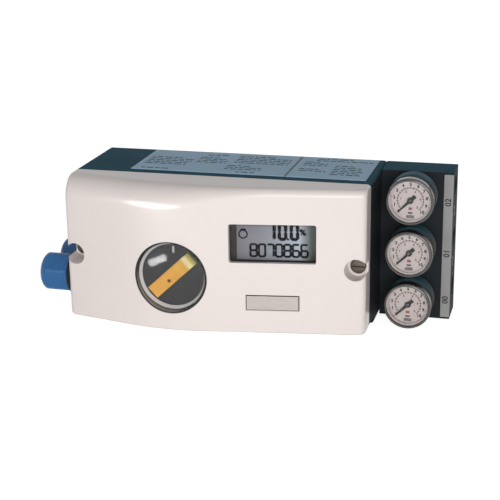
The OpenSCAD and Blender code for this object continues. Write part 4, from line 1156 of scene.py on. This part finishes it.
# The first gauge's piece itself, or a copy of it for the second or third
def gaugeCopy(piece, number):
    if number == 1:
        return piece
    rise = (gauge["zs"][number - 1] - gauge["zs"][0]) / 1000
    return again(piece, "%s%d" % (piece.name.rstrip("1"), number), Vector((0, 0, rise)))


gaugeSolids, gaugeExtras, needleCap = makeGauge(gauge["zs"][0])
for number in (3, 2, 1):
    for stem, piece in gaugeSolids.items():
        standFor(gaugeCopy(piece, number), "%s_%d" % (stem, number))
    for piece, ink in gaugeExtras:
        fit(gaugeCopy(piece, number), "housing", ink)
    fit(gaugeCopy(needleCap, number), bodyOf["gauge_needle_%d" % number],
        finishes["steel_screw"])
    eased("gauge_case_%d" % number, 0.3, material=casePaint)
print("gauges fitted")


# cable glands: domed hexagon caps on hexagon bodies

gland = {
    "ys": (14, 50.5), "z": 18.3, "flats": 26.5, "capBack": -12, "end": -34.5, "dome": 7.5, "mouth": 5.6,
    "neck": 8.6, "step": -31.5, "turn": 18, "overFlats": 1.5, "domeSteps": 12, "washer": (8.7, 14.6, -8.3),
    "washerGap": 0.05,
}


def hexagon(title, y, low, high):
    g = gland
    r = g["flats"] / 2 / math.cos(math.radians(30)) / 1000
    centre = place(low, y, g["z"])
    points = []
    for i in range(6):
        a = math.radians(60 * i - g["turn"])
        points.append(centre + Vector((0, r * math.cos(a), r * math.sin(a))))
    return pushed(title, points, Vector(((high - low) / 1000, 0, 0)))


def makeGlandCap(y):
    g = gland
    end, back, mouth, neck, step = g["end"], g["capBack"], g["mouth"], g["neck"], g["step"]
    outer = g["flats"] / 2 + g["overFlats"]
    shoulder = outer - g["dome"]
    dome = []
    for i in range(1, g["domeSteps"] + 1):
        a = math.radians(90 * i / g["domeSteps"])
        dome.append((shoulder + g["dome"] * math.sin(a), end + g["dome"] * (1 - math.cos(a))))
    cap = turned("glandCap1", [(mouth, end + 0.3), (mouth + 0.3, end)] + dome + [
        (outer, back - 0.8), (outer - 0.8, back), (neck, back), (neck, step), (mouth, step),
        (mouth, end + 0.3)], (0, y, g["z"]), axis="x")
    cut(cap, hexagon("capHexagon", y, end - 1, back + 1), "INTERSECT")
    soften(cap, 0.6, 3, 20)
    smooth(cap)
    return cap


# Black sealing washer between the cap and the body's hexagon; its black is painted shade for the gap there
def makeGlandWasher(y):
    inner, outer, back = gland["washer"]
    front = gland["capBack"] + gland["washerGap"]
    washer = turned("glandWasher1", [
        (inner, front), (outer - 0.3, front), (outer, front + 0.3), (outer, back - 0.3), (outer - 0.3, back),
        (inner, back), (inner, front)], (0, y, gland["z"]), axis="x", steps=64)
    smooth(washer)
    return washer


glandCap = makeGlandCap(gland["ys"][0])
# painted shade: the black washer fills the shaded gap behind each cap
glandShadeWasher = makeGlandWasher(gland["ys"][0])
glandStep = Vector((0, (gland["ys"][1] - gland["ys"][0]) / 1000, 0))
standFor(again(glandCap, "glandCap2", glandStep), "gland_cap_2")
standFor(glandCap, "gland_cap_1")
for washer in (again(glandShadeWasher, "glandWasher2", glandStep), glandShadeWasher):
    fit(washer, bodyOf["gland_cap_1"], finishes["rubber_black"])
for number in (1, 2):
    eased("gland_body_%d" % number, 0.35)
print("glands fitted")


# housing, gauge block and what is fixed to them

label = {
    "y": (8, 64), "z": (100, 100.4), "left": (38, 147.47), "right": (148.07, 203), "print": 100.43,
    "inkDepth": 0.03, "word": (3.4, 5.2, 2.2, 4.3, 6.1, 2.8, 4.8), "space": 1.2, "row": 4.6, "stroke": 1.5,
    "lastRow": 0.7, "shortest": 1.5, "divider": (0.55, 0.15, 0.2),
    # blocks of rows: where the block starts and ends across the label, its first row and its number of rows
    "leftBlocks": ((44, 76, 12, 1), (42, 74, 25, 5), (77, 99, 34, 4), (80, 104, 55, 1), (102, 128, 19, 3),
                   (104, 143, 37, 5), (112, 132, 12, 1)),
    "rightBlocks": ((153, 172, 25, 2), (153, 170, 40, 3), (176, 197, 18, 6), (160, 200, 54, 2)),
}
strip = {
    "x": 253.95, "y": 40.4, "height": 5.6, "marks": ((79.4, "02"), (43, "01"), (9.2, "00")), "ink": 0.04,
    "turn": -90, "bold": 0.12,
}


# Rows of plain bars of uneven length; the last row of a block is shorter
def rulesFor(blocks):
    words, top, made = label["word"], label["print"], []
    under = top - label["inkDepth"]
    for start, end, first, rows in blocks:
        for row in range(rows):
            y = first + row * label["row"]
            x, turn = start, row * 3 + first
            last = end if row < rows - 1 else start + (end - start) * label["lastRow"]
            while x < last - label["shortest"]:
                length = min(words[turn % len(words)], last - x)
                made.append(box("rule", (x, y, under), (x + length, y + label["stroke"], top)))
                x += length + label["space"]
                turn += 1
    return made


def makeLabels():
    front, rear = label["y"]
    low, high = label["z"]
    for side, node in (("left", "top_label_left"), ("right", "top_label_right")):
        x0, x1 = label[side]
        film = box(side + "Film", (x0, front, low), (x1, rear, high))
        soften(film, 0.12, 2)
        smooth(film)
        standFor(film, node)
        fit(joined(side + "Rules", rulesFor(label[side + "Blocks"])), "housing", inkLabel)
    # dark lines along the two edges that meet
    wide, inset, margin = label["divider"]
    left, right, top = label["left"][1], label["right"][0], label["print"]
    near, far, under = front + margin, rear - margin, top - label["inkDepth"]
    edges = [box("edge", (left - wide, near, under), (left - inset, far, top)),
             box("edge", (right + inset, near, under), (right + wide, far, top))]
    fit(joined("labelDivider", edges), "housing", inkBlack)


def makeStrip():
    s = strip
    eased("port_label_strip", 0.15)
    marks = [letters(sign, s["height"], (s["x"], s["y"] - s["ink"], z), s["turn"], s["bold"])
             for z, sign in s["marks"]]
    fit(joined("stripMarks", marks), "housing", inkBlack)


eased("main_housing", 0.5, 3)
eased("gauge_block", 0.5, 3)
makeLabels()
makeStrip()
# how far the edges of the other nodes are broken
for node, width in (("earth_screw", 0.3), ("exhaust_vent", 0.25), ("block_screws", 0.25),
                    ("feedback_shaft", 0.15), ("shaft_seal", 0.2), ("gland_inserts", 0.3),
                    ("operator_panel", 0.3), ("panel_screws", 0.2), ("circuit_board", 0.1),
                    ("terminal_block", 0.3), ("terminal_screws", 0.15), ("air_manifold", 0.5),
                    ("ip_converter", 0.5), ("position_sensor", 0.4), ("cover_gasket", 0.2),
                    ("mode_button", 0.5), ("enter_button", 0.5), ("up_button", 0.5), ("down_button", 0.5)):
    eased(node, width)
print("housing and inner parts eased")


# every node that still shows takes the finish of its slot
for node, solid in frame["nodes"].items():
    for holder in solid.material_slots:
        holder.material = finishes[slotOf[node]]


# floor, light and surroundings

studio = {
    "floor": -6, "size": 8, "paper": 0.86, "glow": 0.86, "horizon": 0.42, "zenith": 0.14,
    # azimuth from the front, elevation, then distance, width and height in metres, and watts
    "front": (20, 12, 1.5, 0.9, 0.5, 10), "left": (-30, 8, 1.3, 0.3, 0.4, 0.7),
    "rear": (180, 4, 1.6, 1, 0.2, 4), "aim": (105, -10, 50),
    # place, aim, size in metres and watts
    "bounce": ((165, -330, 4), (150, 0, 30), (0.4, 0.26), 0.48),
    # place, aim, size in metres, turn and watts of each card
    "windowCard": ((-13.6, -212.7, 13.9), (70.5, -34.7, 49), (0.048, 0.014), 25, 0.095),
    "coverCard": ((-45, -258, 100), (68.3, -35.5, 87), (0.162, 0.07), -37, 0.5),
}


# What the camera, metal and glass see of the floor and the room
def seenPlainly(tree):
    seen = addNode(tree, "ShaderNodeLightPath")
    direct = addNode(tree, "ShaderNodeMath", {"operation": "MAXIMUM"}, {
        0: seen.outputs["Is Camera Ray"], 1: seen.outputs["Is Glossy Ray"]})
    return addNode(tree, "ShaderNodeMath", {"operation": "MAXIMUM"}, {
        0: direct.outputs[0], 1: seen.outputs["Is Transmission Ray"]}).outputs[0]


def makeFloor():
    deselect()
    bpy.ops.mesh.primitive_plane_add(size=studio["size"], location=(0, 0, place(0, 0, studio["floor"]).z))
    floor = bpy.context.object
    floor.name = "floor"
    material = bpy.data.materials.new("paleFloor")
    material.use_nodes = True
    tree = material.node_tree
    tree.nodes.clear()
    glow = addNode(tree, "ShaderNodeMath", {"operation": "MULTIPLY"}, {
        0: seenPlainly(tree), 1: studio["glow"]})
    grey = studio["paper"]
    paper = addNode(tree, "ShaderNodeBsdfDiffuse", inputs={"Color": (grey, grey, grey, 1)})
    light = addNode(tree, "ShaderNodeEmission", inputs={"Strength": glow.outputs[0]})
    both = addNode(tree, "ShaderNodeAddShader", inputs={0: paper.outputs[0], 1: light.outputs[0]})
    addNode(tree, "ShaderNodeOutputMaterial", inputs={"Surface": both.outputs[0]})
    paint(floor, material)


# A room that lights from its walls more than from its ceiling
def makeSky():
    world = bpy.data.worlds.new("paleRoom")
    bpy.context.scene.world = world
    world.use_nodes = True
    tree = world.node_tree
    tree.nodes.clear()
    way = addNode(tree, "ShaderNodeTexCoord").outputs["Generated"]
    height = addNode(tree, "ShaderNodeMapRange", inputs={
        "Value": addNode(tree, "ShaderNodeSeparateXYZ", inputs={"Vector": way}).outputs["Z"],
        "From Min": 0.1, "From Max": 0.7, "To Min": studio["horizon"], "To Max": studio["zenith"]})
    level = addNode(tree, "ShaderNodeMapRange", inputs={
        "Value": seenPlainly(tree), "To Min": height.outputs[0], "To Max": 1})
    room = addNode(tree, "ShaderNodeBackground", inputs={"Color": (1, 1, 1, 1), "Strength": level.outputs[0]})
    addNode(tree, "ShaderNodeOutputWorld", inputs={"Surface": room.outputs[0]})


def lamp(title, spot, aim, size, watts, turn=0, mirrored=True):
    bpy.ops.object.light_add(type="AREA", location=spot)
    light = bpy.context.object
    light.name = title
    light.data.shape = "RECTANGLE"
    light.data.size, light.data.size_y = size
    light.data.energy = watts
    light.rotation_mode = "QUATERNION"
    light.rotation_quaternion = ((spot - aim).to_track_quat("Z", "Y")
                                 @ Quaternion((0, 0, 1), math.radians(turn)))
    light.visible_camera = False
    light.visible_glossy = mirrored
    return light


# A soft box at an angle round the object; azimuth 0 is the front
def softBox(title, azimuth, elevation, distance, width, height, watts, mirrored=True):
    a, e = math.radians(azimuth), math.radians(elevation)
    aim = place(*studio["aim"])
    back = Vector((math.sin(a) * math.cos(e), -math.cos(a) * math.cos(e), math.sin(e)))
    lamp(title, aim + back * distance, aim, (width, height), watts, mirrored=mirrored)


makeFloor()
makeSky()
softBox("frontLight", *studio["front"])
softBox("leftLight", *studio["left"])
softBox("rearLight", *studio["rear"], mirrored=False)
# light that a white table sends up at the lower front
spot, aim, size, watts = studio["bounce"]
lamp("tableBounce", place(*spot), place(*aim), size, watts, mirrored=False)
# slanted cards, each seen only as the highlight on one piece
for title, shown in (("windowCard", "indicatorWindow"), ("coverCard", "coverShell")):
    spot, aim, size, turn, watts = studio[title]
    card = lamp(title, place(*spot), place(*aim), size, watts, turn)
    card.visible_diffuse = False
    shownOn = bpy.data.collections.new(title + "Shows")
    shownOn.objects.link(bpy.data.objects[shown])
    card.light_linking.receiver_collection = shownOn
print("studio lit")
